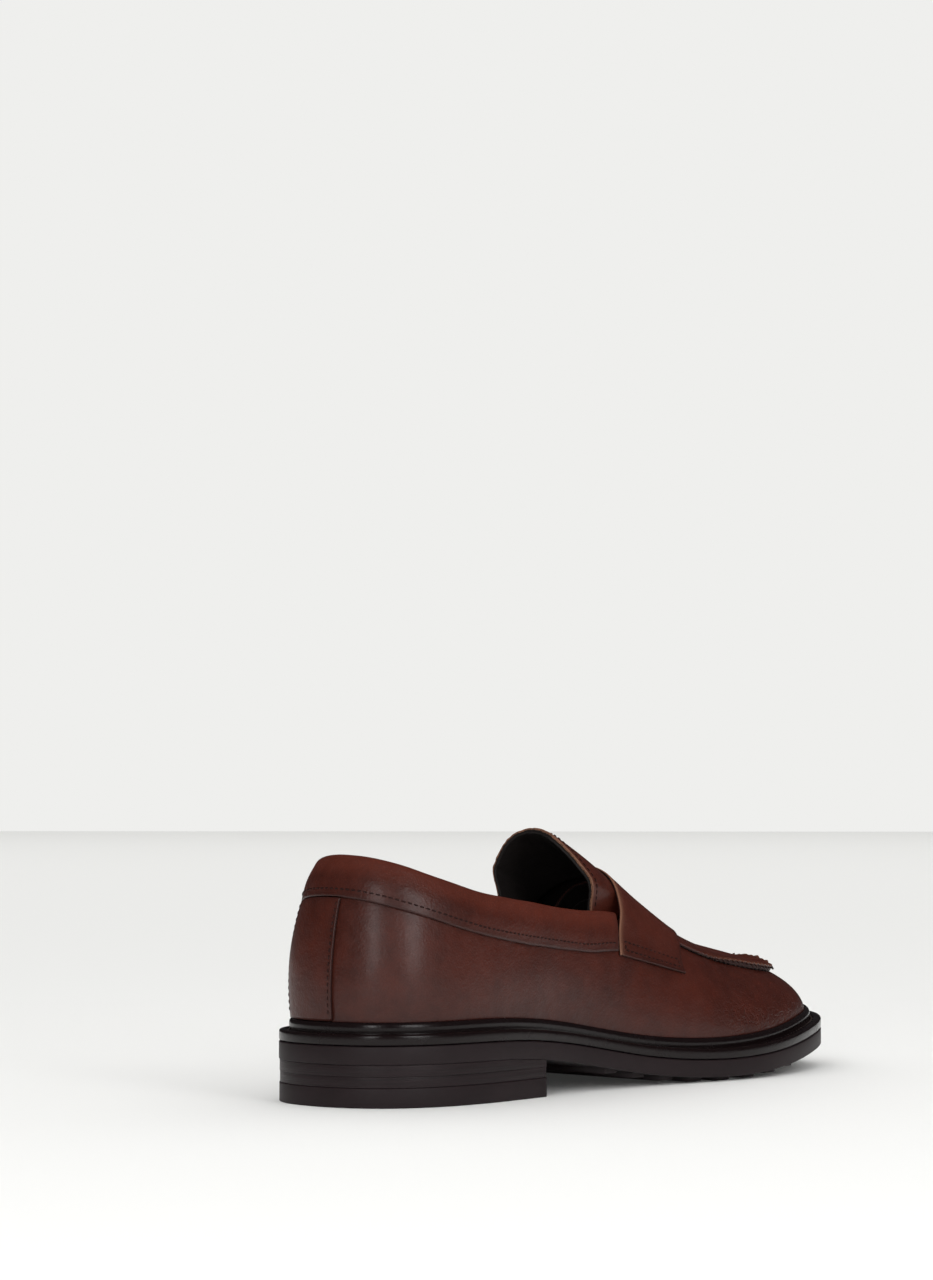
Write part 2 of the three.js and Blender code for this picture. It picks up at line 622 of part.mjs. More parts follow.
function drilled(geometry) {
  const bores = nailPlaces.map((place) => solidOf(facingOut(mergeBare(nail(place, GLUE_GAP)))));
  return geometryOf(bores.reduce((solid, bore) => solid.subtract(bore), solidOf(geometry)));
}

function mergeBare(geometry) {
  geometry.deleteAttribute("normal");
  geometry.deleteAttribute("uv");
  return mergeVertices(geometry, 1e-3);
}

// The insole and the sock stay inside the upper, its stiffener and its lining.
const WALL = LEATHER + OVERLAY_GAP + COUNTER + GLUE_GAP + LINING;
const insole = () =>
  drilled(plate({ inset: innerEdge(WALL + INSOLE_PLAY), bottom: insoleBottom, top: insoleTop }));

const heelPad = () =>
  plate({
    inset: innerEdge(WALL + INSOLE_PLAY + PAD_INSET),
    bottom: (y) => insoleTop(y) + GLUE_GAP,
    top: (y) => insoleTop(y) + GLUE_GAP + padThickness(y),
    to: PAD_FRONT,
    cuts: 20,
  });
const PAD_FRONT = BREAST - 5;
const PAD_EDGE = 0.4; // thickness of the pad's front edge
const padThickness = (y) => HEEL_PAD * (1 - ease(PAD_FRONT - 25, PAD_FRONT, y)) + PAD_EDGE;
const sockBottom = (y) => insoleTop(y) + 3 * GLUE_GAP + padThickness(y);
const sockTop = (y) => sockBottom(y) + SOCK;
const sock = () =>
  plate({ inset: innerEdge(WALL + INSOLE_PLAY + SOCK + 0.8), bottom: sockBottom, top: sockTop, cuts: 40 });

// The steel shank runs from the heel seat to behind the ball, let into the cork from above.
function shankBar(grow) {
  const from = BREAST - SHANK_LENGTH / 2 + 6 - grow;
  const to = BREAST + SHANK_LENGTH / 2 + 6 + grow;
  const half = SHANK_WIDTH / 2 + grow;
  const top = (y) => weltTop(y) - GLUE_GAP + grow * 3;
  return loft(
    spread(from, to, 10).map((y) => [
      new THREE.Vector3(half, y, top(y)),
      new THREE.Vector3(-half, y, top(y)),
      new THREE.Vector3(-half, y, weltTop(y) - GLUE_GAP - SHANK_THICKNESS - grow),
      new THREE.Vector3(half, y, weltTop(y) - GLUE_GAP - SHANK_THICKNESS - grow),
    ]),
  );
}

function corkFiller() {
  const cork = plate({
    inset: innerEdge(WELT_REACH + GLUE_GAP),
    bottom: (y) => outsoleTop(y) + GLUE_GAP,
    top: (y) => weltTop(y) - GLUE_GAP,
  });
  return drilled(geometryOf(solidOf(cork).subtract(solidOf(shankBar(GLUE_GAP)))));
}

// The storm welt: a rim with a stitching groove, and a bead that closes against the upper.
function weltRing(t) {
  const inset = upperInset(stationY(t));
  const onTop = (in_, rise) => {
    const p = outline(t, in_);
    return new THREE.Vector3(p.x, p.y, weltTop(p.y) + rise);
  };
  const onBottom = (in_) => onTop(in_, -WELT_THICKNESS);
  const againstUpper = (part) =>
    layer(t, levelAt(t, weltTop(stationY(t)) + part * BEAD_HEIGHT), GLUE_GAP);
  const bead = beadInset(t);
  const groove = bead - GROOVE_WIDTH;
  return [
    onBottom(0),
    onTop(0, 0),
    onTop(groove, 0),
    onTop(groove, -GROOVE_DEPTH),
    onTop(bead, -GROOVE_DEPTH),
    onTop(bead, BEAD_HEIGHT),
    againstUpper(1),
    againstUpper(0.66),
    againstUpper(0.33),
    onTop(inset - GLUE_GAP, 0),
    onTop(inset + WELT_REACH, 0),
    onBottom(inset + WELT_REACH),
  ];
}
const welt = () => loft(range(STATIONS, (i) => weltRing(i / STATIONS)), { closed: true });

// Distance from the sole's edge to the bead's outer face.
function beadInset(t) {
  const edge = edgePoint(t);
  const top = layer(t, levelAt(t, weltTop(edge.y) + BEAD_HEIGHT), GLUE_GAP + BEAD_WIDTH);
  return new THREE.Vector2(top.x, top.y).sub(edge).dot(edgeNormal(t)) * -1;
}

// The rubber outsole: an even edge all round, and bars across its underside at the ball.
function outsole() {
  const slab = solidOf(plate({ inset: 0, bottom: soleRise, top: outsoleTop, cuts: 30 }));
  const bars = range(LUGS_BEHIND + LUGS_AHEAD + 1, (i) =>
    solidOf(treadBar(LOWEST_Y + (i - LUGS_BEHIND) * LUG_PITCH)),
  );
  return drilled(geometryOf(bars.reduce((solid, bar) => solid.add(bar), slab)));
}

// One bar of the tread, with a level foot. The one at the ball stands on the ground.
const treadBar = (y) =>
  plate({
    inset: LUG_INSET,
    bottom: () => soleRise(y) - LUG_HEIGHT,
    top: () => soleRise(y) + 3,
    from: y - LUG_LENGTH / 2,
    to: y + LUG_LENGTH / 2,
    cuts: 2,
  });

// The heel: two leather lifts over a rubber one.
const heelLayer = (bottom, top, inset) =>
  drilled(plate({ inset, bottom: () => bottom, top, to: BREAST, cuts: 14 }));
const LIFT = (HEEL_SEAT - TOP_LIFT - 3 * GLUE_GAP) / 2; // thickness of one leather lift
const LOWER_LIFT_FOOT = TOP_LIFT + GLUE_GAP;
const UPPER_LIFT_FOOT = LOWER_LIFT_FOOT + LIFT + GLUE_GAP;
const topLift = () => heelLayer(0, () => TOP_LIFT, HEEL_TAPER / 3);
const lowerLift = () => heelLayer(LOWER_LIFT_FOOT, () => LOWER_LIFT_FOOT + LIFT, HEEL_TAPER);
const upperLift = () => heelLayer(UPPER_LIFT_FOOT, (y) => soleRise(y) - GLUE_GAP, HEEL_TAPER / 2);

// ---------------------------------------------------------------- stitching
function weltStitching() {
  const places = range(64, (i) => {
    const p = outline(i / 64, beadInset(i / 64) - GROOVE_WIDTH / 2);
    const z = weltTop(p.y) - GROOVE_DEPTH + GLUE_GAP;
    return { point: new THREE.Vector3(p.x, p.y, z), normal: new THREE.Vector3(0, 0, 1) };
  });
  return thread(places, true);
}

function plugStitching() {
  const outer = spread(28.5 / STATIONS, TIP, 14);
  const stations = [...outer, ...outer.slice(0, -1).reverse().map(across)];
  return thread(
    stations.map((t) => {
      const side = outerStation(t);
      const w = plugSeam(side) + 0.02;
      return threadPlace(t, w, plugOut(side, w));
    }),
  );
}

function collarStitching() {
  return thread(
    collarStations().map((t) => {
      const w = levelAt(t, topline(t) - COLLAR_DEPTH + STITCH_MARGIN);
      return threadPlace(collarPlace(t, w), w, COLLAR_OUT);
    }),
  );
}

function stripStitching(t) {
  const levels = spread(stripFoot(t) + 0.01, stripTop(t) - 0.01, 8);
  return thread(levels.map((w) => threadPlace(t, w, OVERLAY_GAP + OVERLAY)));
}

// A loop of stitches that holds one end of the strap down.
function strapStitching(onInnerSide) {
  const corners = [[0.09, 0.03], [0.91, 0.03], [0.91, 0.075], [0.09, 0.075]];
  const places = corners.flatMap(([k, rise], i) => {
    const [k2, rise2] = corners[(i + 1) % corners.length];
    const steps = i % 2 ? 1 : 5;
    return range(steps, (s) => [mix(k, k2, s / steps), mix(rise, rise2, s / steps)]);
  });
  return thread(
    places.map(([k, rise]) => {
      const w = STRAP_END_LEVEL + STRAP_END_RISE * k + rise;
      const t = strapPlace(k, w);
      return threadPlace(onInnerSide ? across(t) : t, w, strapOut(w));
    }),
    true,
  );
}

function tongueStitching() {
  const places = tongueRow(0.13, 12, TONGUE_LOW + 0.07);
  return thread(places.map(([t, w, outerT]) => threadPlace(t, w, tongueOut(outerT, w))));
}

// ---------------------------------------------------------------- assembly
const finish = (color, roughness, metalness = 0) =>
  new THREE.MeshStandardMaterial({ color, roughness, metalness });
const brown = finish("#6b3322", 0.42);
const liningBlack = finish("#17130f", 0.75);
const weltBlack = finish("#1d1716", 0.35);
const rubber = finish("#2c2324", 0.7);
const stack = finish("#2a2021", 0.55);
const board = finish("#9a7b57", 0.9);
const cork = finish("#a9835a", 0.95);
const foam = finish("#d8cfb8", 0.95);
const steel = finish("#8d9196", 0.4, 1);
const linen = finish("#2b1712", 0.8);

const loafer = new THREE.Group();
function add(name, geometry, material) {
  const mesh = new THREE.Mesh(geometry, material.clone());
  mesh.name = name;
  loafer.add(mesh);
}

add("vamp", vamp(), brown);
add("plug", plug(), brown);
add("penny_strap", pennyStrap(), brown);
add("tongue", tongue(), brown);
add("tongue_lining", tongueLining(), liningBlack);
add("collar", collar(), brown);
add("collar_foam", collarFoam(), foam);
add("heel_strip", heelStrip(), brown);
add("heel_counter", heelCounter(), board);
add("toe_puff", toePuff(), board);
add("quarter_lining", quarterLining(), liningBlack);
add("vamp_lining", vampLining(), liningBlack);
add("sock", sock(), liningBlack);
add("heel_pad", heelPad(), foam);
add("insole", insole(), board);
add("shank", shankBar(0), steel);
add("cork_filler", corkFiller(), cork);
add("welt", welt(), weltBlack);
add("outsole", outsole(), rubber);
add("heel_lift_upper", upperLift(), stack);
add("heel_lift_lower", lowerLift(), stack);
add("top_lift", topLift(), rubber);
nailPlaces.forEach((place, i) => add(`heel_nail_${i + 1}`, mergeBare(nail(place)), steel));
add("welt_stitching", weltStitching(), linen);
add("plug_stitching", plugStitching(), linen);
add("collar_stitching", collarStitching(), linen);
add("heel_strip_stitching_outer", stripStitching(STRIP_TO - 0.2 / STATIONS), linen);
add("heel_strip_stitching_inner", stripStitching(STRIP_FROM + 0.2 / STATIONS), linen);
add("strap_stitching_outer", strapStitching(false), linen);
add("strap_stitching_inner", strapStitching(true), linen);
add("tongue_stitching", tongueStitching(), linen);

export default loafer;
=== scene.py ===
"""Builds the looks of a right-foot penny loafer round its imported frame.

The shoe's surface is one formula: a smooth outline of the sole, and a wall that rises from it and leans in
to a middle line over the foot. Every piece of leather is a sheet on that surface. Lengths inside the
formulas are millimetres, and the finished meshes are in metres. +X is the outer side of the foot, and +Y
runs from heel to toe.
"""

import json
import math
from types import SimpleNamespace

import bmesh
import bpy
import numpy as np
from bpy.props import FloatProperty, FloatVectorProperty, PointerProperty
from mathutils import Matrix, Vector

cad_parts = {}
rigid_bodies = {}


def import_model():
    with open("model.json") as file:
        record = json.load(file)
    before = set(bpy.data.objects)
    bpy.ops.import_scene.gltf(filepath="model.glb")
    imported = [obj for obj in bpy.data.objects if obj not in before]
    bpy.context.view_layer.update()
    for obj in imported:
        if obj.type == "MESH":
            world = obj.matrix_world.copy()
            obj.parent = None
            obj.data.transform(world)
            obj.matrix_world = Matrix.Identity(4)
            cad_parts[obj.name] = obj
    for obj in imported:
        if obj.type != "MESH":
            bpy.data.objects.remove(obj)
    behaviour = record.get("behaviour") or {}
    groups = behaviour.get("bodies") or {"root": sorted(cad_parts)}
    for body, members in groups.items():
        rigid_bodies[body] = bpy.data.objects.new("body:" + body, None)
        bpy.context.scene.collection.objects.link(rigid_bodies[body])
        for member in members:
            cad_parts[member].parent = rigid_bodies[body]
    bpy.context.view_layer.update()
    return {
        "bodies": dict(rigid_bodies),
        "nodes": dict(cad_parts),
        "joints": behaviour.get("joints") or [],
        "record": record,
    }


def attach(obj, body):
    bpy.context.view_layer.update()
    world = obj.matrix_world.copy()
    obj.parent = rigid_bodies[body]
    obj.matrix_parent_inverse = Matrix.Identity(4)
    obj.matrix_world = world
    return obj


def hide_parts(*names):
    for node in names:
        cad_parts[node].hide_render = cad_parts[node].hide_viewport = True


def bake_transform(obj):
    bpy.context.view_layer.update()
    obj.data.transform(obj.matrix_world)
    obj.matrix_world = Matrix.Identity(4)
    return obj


bl_info = {
    "name": "Penny loafer",
    "version": (1, 0, 0),
    "blender": (4, 5, 0),
    "location": "View3D > Sidebar > Loafer",
    "description": "Builds a penny loafer piece by piece round its packed frame",
    "category": "Object",
}

LOOK = "loafer_"  # start of the names of the materials made here

# ---------------------------------------------------------------- the foot's shape
# Outline of the sole as spline handles: back of the heel, up the outer side, round the toe, back.
OUTLINE_HANDLES = (
    (0, -153), (27.5, -146), (43, -118), (43, -80), (40, -42),
    (43, 0), (52, 38), (55, 72), (46, 108), (28.5, 140),
    (-8, 155), (-40, 138), (-55, 104), (-57, 66), (-48, 28),
    (-36, -10), (-33, -50), (-37, -88), (-37, -122), (-25, -147),
)
# Each list below is spread evenly from the back of the heel to the tip of the toe.
SOLE_CURVE = (16, 16, 16, 11.5, 4, 1, 3, 8.5, 11)  # relative rise of the outsole's underside
RIDGE_HEIGHT = (88.6, 88.6, 87.6, 85, 79, 45.1, 37.8, 19.1, 17.6)  # middle line over the welt
RIDGE_SIDE = (1.2, 0.2, -1.8, -1.8, -2.8)  # middle line's offset towards the outer side
FULLNESS = (2.4, 2.45, 2.4, 2.05, 1.87, 1.8, 1.96)  # exponent of the cross-section's curve
BULGE = (1.7, 2.2, 2, 1.5, 1.5, 1.1, 1)  # how far the wall swells past its foot
RIDGE_REACH = (0.64, 0.64, 0.69, 0.69)  # ridge's length against the outline's
# These are spread over the foot opening, and over the plug's side from its back to its front.
TOPLINE_HEIGHT = (67.1, 58.2, 50.4, 48.4, 49, 52, 52.7)  # edge of the opening over the welt
TOPLINE_LENGTH = 180
PLUG_SEAM = (0.5, 0.507, 0.525, 0.541, 0.543, 0.531, 0.506, 0.488, 0.482, 0.54, 0.615, 0.66, 0.677)

# Places round the outline: 0 is the back of the heel, 0.5 the toe, and 1 - t the inner side.
STATION = 1 / 80
BACK_SEAM = 0.0006
STRIP = (-4 * STATION, STATION)
STRAP_TAB = (19 * STATION, 23 * STATION)
STRAP_TOP = (21 * STATION, 27.6 * STATION)
STRAP_END_LEVEL = 0.28
STRAP_END_RISE = 0.045
STRAP_OVER_PLUG = (0.35, 0.48)  # the strap climbs from the vamp onto the plug between these levels
COLLAR_END = 19.6 * STATION
COLLAR_TO_STRAP = 0.12 * STATION
TONGUE_BACK = (18.9 * STATION, 17.05 * STATION, 17.5 * STATION)  # outer side, middle, inner side
TONGUE_FRONT = (20.1 * STATION, 21.6 * STATION)
TONGUE_LOW = 0.43
TONGUE_TUCK = (0.46, 0.6)
PLUG_BACK = 22.2 * STATION
PLUG_ALLOWANCE = 0.1
LINING_SPLIT = 23 * STATION
COUNTER_FADE = (12 * STATION, 10.3 * STATION)  # the stiffeners thin out to nothing between these places
PUFF_FADE = (31 * STATION, 32.7 * STATION)

GLUE_GAP = 0.3
OVERLAY_GAP = 0.5
CLOSE = 0.12  # a sewn overlay's underside to the leather below it
TONGUE_LINING_GAP = 0.06
LIFT_GAP = 0.03  # from a lift's top to the piece over it
WELD = 1e-5  # points nearer than this, in metres, are joined
# Rounding of the cut edges, by piece.
VAMP_ROUNDING = 0.5
PLUG_ROUNDING = 0.55
OVERLAY_ROUNDING = 0.45
TONGUE_ROUNDING = 0.35
LINING_ROUNDING = 0.3
SOCK_ROUNDING = 0.4
OUTSOLE_ROUNDING = 0.55
BAR_ROUNDING = 0.6
TOP_LIFT_ROUNDING = 0.45
LIFT_ROUNDING = 0.1
GATHER_PITCH = 3.5  # distance from gather to gather along the plug's seam
FOLD_SQUARENESS = 0.72  # 1 is a half circle over the collar, and less is squarer
COLLAR_ROW = 0.21  # places of the stitch rows across their pieces, from 0 to 1
TONGUE_ROW = 0.13
STRAP_ROW_LEVELS = (0.024, 0.058)
STRAP_GROOVES = (2.3, 5.4)  # the same two rows as distances from the strap's end
SLOT_CUTTER_REACH = 12.0
BARS = range(-4, 6)  # tread bars, counted from the sole's lowest place
BAR_ROOT = 4.5  # how far a bar reaches up into the sole


# ---------------------------------------------------------------- sizes and colours
def length(name, text, millimetres):
    """A length setting. It is kept in metres, as the rest of the scene is."""
    settings = {"default": millimetres / 1000, "unit": "LENGTH", "subtype": "DISTANCE"}
    return FloatProperty(name=name, description=text, **settings)


def srgb(code):
    """Linear colour of an sRGB hex code."""
    parts = [int(code[i : i + 2], 16) / 255 for i in (1, 3, 5)]
    return tuple(c / 12.92 if c <= 0.04045 else ((c + 0.055) / 1.055) ** 2.4 for c in parts)


def colour(name, text, code):
    """A colour setting, given as an sRGB hex code."""
    settings = {"default": srgb(code), "subtype": "COLOR", "size": 3, "min": 0, "max": 1}
    return FloatVectorProperty(name=name, description=text, **settings)


class LoaferSizes(bpy.types.PropertyGroup):
    """Real sizes of the shoe and its pieces."""

    sole_length: length("Sole length", "Heel to toe, over the welt", 300)
    sole_width: length("Sole width", "Over the welt at the ball", 110)
    top_lift: length("Top lift", "Height of the rubber heel piece", 7.5)
    heel_seat: length("Heel seat", "Ground to the outsole's underside at the heel", 16)
    heel_length: length("Heel length", "Back of the heel to its breast", 88)
    heel_taper: length("Heel taper", "Step between the heel's lifts", 0.6)
    outsole: length("Outsole", "Thickness of the outsole's edge", 7)
    lug_height: length("Tread bar height", "Height of the bars under the sole", 1.8)
    lug_length: length("Tread bar length", "Length of one bar, heel to toe", 7)
    lug_pitch: length("Tread bar pitch", "Distance from bar to bar", 15)
    lug_inset: length("Tread bar inset", "Edge of the sole to the ends of the bars", 4)
    welt: length("Welt", "Thickness of the welt's rim", 4.1)
    groove_depth: length("Groove depth", "Depth of the welt's stitching groove", 1.3)
    groove_width: length("Groove width", "Width of the welt's stitching groove", 1.5)
    bead_height: length("Bead height", "Storm bead above the welt's rim", 4.2)
    bead_width: length("Bead width", "Thickness of the storm bead", 1.9)
    welt_reach: length("Welt reach", "How far the welt runs in under the upper", 6.5)
    upper_inset: length("Upper inset", "Edge of the sole to the upper, forepart", 7.2)
    heel_inset: length("Heel inset", "Edge of the sole to the upper, heel", 6.2)
    leather: length("Leather", "Thickness of the vamp and the plug", 1.6)
    overlay: length("Overlay leather", "Thickness of strap, collar, strip and tongue", 1.3)
    lining: length("Lining", "Thickness of the lining leather", 1.0)
    counter: length("Counter", "Thickness of the heel stiffener", 1.5)
    puff: length("Toe puff", "Thickness of the toe stiffener", 1.2)
    insole: length("Insole", "Thickness of the insole board", 2.7)
    heel_pad: length("Heel pad", "Thickness of the foam under the heel", 2.0)
    sock: length("Sock", "Thickness of the sock lining", 1.2)
    collar_depth: length("Collar depth", "Outer leg of the collar band", 17)
    collar_lining: length("Collar lining depth", "Inner leg of the collar band", 9.5)
    collar_fold: length("Collar fold", "The vamp's edge below the topline", 3.6)
    tongue_clearance: length("Tongue clearance", "The tongue's tucked sides to the collar", 1.6)
    plug_lip: length("Plug lip", "Raised rim of the plug at its sides", 1.5)
    plug_front_lip: length("Plug front lip", "Raised rim of the plug across the toe", 3.0)
    slot_length: length("Penny slot length", "Length of the slot in the strap", 24)
    slot_width: length("Penny slot width", "Width of the slot in the strap", 5.5)
    stitch_pitch: length("Stitch pitch", "Distance from stitch to stitch in the upper", 2.5)
    welt_pitch: length("Welt stitch pitch", "Distance from stitch to stitch in the welt", 3.2)
    thread: length("Thread", "Diameter of the sewing thread", 0.6)
    undulation: length("Undulation", "Height of the soft unevenness of worked leather", 0.22)
    pucker: length("Pucker", "Depth of the gathers beside the plug's seam", 0.3)


class LoaferColours(bpy.types.PropertyGroup):
    """Colours of the materials."""

    calf: colour("Calf", "Middle tone of the brown upper leather", "#421910")
    calf_dark: colour("Calf, dark", "Burnished parts of the upper leather", "#230d09")
    # Also the painted sheen on the upward-facing pieces and the collar's top, besides random lighter
    # patches.
    calf_light: colour("Calf, light", "Rubbed parts of the upper leather", "#622a1c")
    # Also the darkening mixed into the upper's face: burnished edges, and painted shade at the toe, by the
    # plug's seam, at the strap's low ends and at the tongue's front.
    edge: colour("Edge", "Painted cut edges of the upper leather", "#2a110d")
    flesh: colour("Raw edge", "Unpainted fibrous edge of the leather", "#8a6049")
    lining: colour("Lining", "Black lining leather", "#100c0b")
    welt: colour("Welt", "Storm welt", "#130c0c")
    rubber: colour("Rubber", "Outsole and top lift", "#1f1618")
    stack: colour("Heel stack", "Stained leather lifts", "#191012")
    thread: colour("Thread", "Waxed thread of the upper", "#2c120d")
    welt_thread: colour("Welt thread", "Waxed thread of the welt", "#4a3f3c")
    board: colour("Board", "Insole and stiffener board", "#9a7b57")
    cork: colour("Cork", "Filler under the insole", "#a9835a")
    foam: colour("Foam", "Padding", "#d8cfb8")
    steel: colour("Steel", "Shank and heel nails", "#8d9196")
    floor: colour("Floor", "Floor and backdrop", "#efefed")


# ---------------------------------------------------------------- small maths
def ease(start, stop, x):
    k = np.clip((x - start) / (stop - start), 0, 1)
    return k * k * (3 - 2 * k)


def mix(a, b, k):
    return a + (b - a) * k


def unit(v):
    return v / np.maximum(np.linalg.norm(v, axis=-1, keepdims=True), 1e-12)


def spline_weights(f):
    """Weights of a uniform cubic B-spline's four handles."""
    return (
        (1 - f) ** 3 / 6,
        (3 * f**3 - 6 * f * f + 4) / 6,
        (-3 * f**3 + 3 * f * f + 3 * f + 1) / 6,
        f**3 / 6,
    )


def along(values, k):
    """A smooth value along an evenly spread list, k from 0 to 1."""
    v = np.array(values, float)
    handles = np.concatenate([[2 * v[0] - v[1]], v, [2 * v[-1] - v[-2]]])
    x = np.clip(k, 0, 1) * (len(v) - 1)
    i = np.minimum(np.asarray(x).astype(int), len(v) - 2)
    return sum(w * handles[i + j] for j, w in enumerate(spline_weights(x - i)))


def path_length(points, axis):
    """Distance run along one axis of a grid of points."""
    steps = np.linalg.norm(np.diff(points, axis=axis), axis=-1)
    pad = [(0, 0)] * steps.ndim
    pad[axis] = (1, 0)
    return np.cumsum(np.pad(steps, pad), axis=axis)


def waves(points, seed, shortest, longest, count=14):
    """A smooth uneven field from -1 to 1 over points, made of plane waves between two lengths in mm."""
    rng = np.random.default_rng(seed)
    total = np.zeros(points.shape[:-1])
    for _ in range(count):
        direction = unit(rng.normal(size=3))
        turn = 2 * math.pi / rng.uniform(shortest, longest)
        total += np.sin(points @ direction * turn + rng.uniform(0, 6.28))
    return total / math.sqrt(count)


# ---------------------------------------------------------------- the last
class Last:
    """The surface of the upper and the levels of the sole, in millimetres."""

    def __init__(self, sizes):
        for key in sizes.bl_rna.properties.keys():
            if key not in ("rna_type", "name"):
                setattr(self, key, getattr(sizes, key) * 1000)
        ring = self._raw(np.linspace(0, 1, 800, endpoint=False))
        low, high = ring.min(0), ring.max(0)
        self.middle = (low + high) / 2
        self.scale = np.array([self.sole_width, self.sole_length]) / (high - low)
        self.heel_back = -self.sole_length / 2
        self.breast = self.heel_back + self.heel_length
        k = np.linspace(0, 1, 301)
        curve = along(SOLE_CURVE, k)
        self.lowest_y = self.heel_back + self.sole_length * k[curve.argmin()]
        self.curve = (curve.min(), SOLE_CURVE[0] - curve.min())
        steps = np.linspace(0, 1, 8001)
        ys = self.edge(steps)[:, 1]
        self.tip = steps[ys.argmax()]
        self.back = steps[ys.argmin()] - 1
        outer = np.linspace(self.back, self.tip, 6001)
        inner = np.linspace(self.tip, self.back + 1, 6001)
        self._outer = (self.edge(outer)[:, 1], outer)
        self._inner = (self.edge(inner)[::-1, 1], inner[::-1])
        wall = self.wall(outer)
        slope = np.gradient(wall.ridge_z) / np.maximum(np.gradient(wall.ridge_y), 1e-9)
        keep = slice(40, -40)
        self._slope = (wall.ridge_y[keep], slope[keep])

    def _raw(self, t):
        handles = np.array(OUTLINE_HANDLES, float)
        n = len(handles)
        x = (np.asarray(t, float) % 1) * n
        i = np.floor(x).astype(int)
        return sum(w[..., None] * handles[(i + j - 1) % n] for j, w in enumerate(spline_weights(x - i)))

    def edge(self, t):
        """A point on the outline of the sole."""
        return (self._raw(t) - self.middle) * self.scale

    def edge_normal(self, t):
        d = self.edge(np.asarray(t) + 1e-4) - self.edge(np.asarray(t) - 1e-4)
        return unit(np.stack([d[..., 1], -d[..., 0]], -1))

    def outline(self, t, inset):
        """The outline pulled in by inset."""
        return self.edge(t) - self.edge_normal(t) * np.asarray(inset)[..., None]

    def edge_y(self, t):
        return self.edge(t)[..., 1]

    def share(self, y):
        return (y - self.heel_back) / self.sole_length

    def sole_rise(self, y):
        """Height of the outsole's underside."""
        low, depth = self.curve
        return mix(self.lug_height, self.heel_seat, (along(SOLE_CURVE, self.share(y)) - low) / depth)

    def outsole_top(self, y):
        return self.sole_rise(y) + self.outsole

    def welt_top(self, y):
        return self.outsole_top(y) + GLUE_GAP + self.welt

    def insole_bottom(self, y):
        return self.welt_top(y) + GLUE_GAP

    def insole_top(self, y):
        return self.insole_bottom(y) + self.insole

    def inset(self, y):
        """Edge of the sole to the upper's foot."""
        return mix(self.heel_inset, self.upper_inset, np.clip((self.share(y) - 0.25) / 0.3, 0, 1))

    def topline(self, t):
        """Height of the opening's edge."""
        y = self.edge_y(t)
        return self.insole_bottom(y) + along(TOPLINE_HEIGHT, (y - self.heel_back) / TOPLINE_LENGTH)

    def on_outer_side(self, t):
        return (t >= self.back) & (t <= self.tip)

    def across(self, t):
        """The place on the other side of the foot that is as far forward as t."""
        y = self.edge_y(t)
        inner = np.interp(y, *self._inner)
        outer = np.interp(y, *self._outer)
        return np.where(self.on_outer_side(t), inner, outer)

    def outer_place(self, t):
        return np.where(self.on_outer_side(t), t, self.across(t))

    def wall(self, t):
        """The upper's foot at t, and the middle line that its wall rises to."""
        edge = self.edge(t)
        normal = self.edge_normal(t)
        foot = edge - normal * self.inset(edge[..., 1])[..., None]
        k = self.share(foot[..., 1])
        ridge_y = foot[..., 1] * along(RIDGE_REACH, k)
        return SimpleNamespace(
            foot=foot,
            normal=normal,
            foot_z=self.insole_bottom(foot[..., 1]),
            ridge_x=along(RIDGE_SIDE, k),
            ridge_y=ridge_y,
            ridge_z=self.insole_bottom(ridge_y) + along(RIDGE_HEIGHT, self.share(ridge_y)),
            fullness=along(FULLNESS, k),
            bulge=along(BULGE, k),
        )

    def skin(self, t, w):
        """A point on the outer face of the upper: t goes round the outline, w from foot (0) to ridge (1)."""
        wall = self.wall(t)
        angle = w * math.pi / 2
        inward = 1 - np.maximum(np.cos(angle), 1e-9) ** (2 / wall.fullness)
        up = np.maximum(np.sin(angle), 1e-9) ** (2 / wall.fullness)
        swell = wall.bulge * 6.75 * up * (1 - up) ** 2
        settle = inward + inward**4 * (1 - inward)
        x = mix(wall.foot[..., 0], wall.ridge_x, inward) + wall.normal[..., 0] * swell
        y = mix(wall.foot[..., 1], wall.ridge_y, settle) + wall.normal[..., 1] * swell
        return np.stack([x, y, mix(wall.foot_z, wall.ridge_z, up)], -1)

    def level_at(self, t, z):
        """The level w at which the wall at t reaches height z."""
        wall = self.wall(t)
        up = np.clip((z - wall.foot_z) / (wall.ridge_z - wall.foot_z), 0, 1)
        return np.arcsin(up ** (wall.fullness / 2)) * 2 / math.pi

    def normal(self, t, w):
        t, w = np.broadcast_arrays(np.asarray(t, float), np.asarray(w, float))
        step = 1e-3
        safe = np.clip(w, 2 * step, 1 - 2 * step)
        round_ = self.skin(t + step, safe) - self.skin(t - step, safe)
        rise = self.skin(t, safe + step) - self.skin(t, safe - step)
        side = unit(np.cross(round_, rise))
        slope = np.interp(self.wall(t).ridge_y, *self._slope)
        top = unit(np.stack([np.zeros_like(slope), -slope, np.ones_like(slope)], -1))
        k = ease(0.955, 0.998, w)[..., None]
        return unit(mix(side, top, k))

    def layer(self, t, w, out):
        """The upper's surface moved out (+) or in (-) along its normal."""
        return self.skin(t, w) + self.normal(t, w) * np.asarray(out)[..., None]

    def lining_depth(self, t):
        """How far inside the upper's face the lining lies: deeper over the counter and the toe puff."""
        y = self.edge_y(t)
        counter = ease(*self.edge_y(np.array(COUNTER_FADE)), y)
        puff = ease(*self.edge_y(np.array(PUFF_FADE)), y)
        stiffener = (self.counter + GLUE_GAP) * counter + (self.puff + GLUE_GAP) * puff
        return self.leather + OVERLAY_GAP + stiffener

    def plug_seam(self, t):
        """Level of the plug's seam, at a place on either side."""
        return along(PLUG_SEAM, (self.outer_place(t) - PLUG_BACK) / (self.tip - PLUG_BACK))

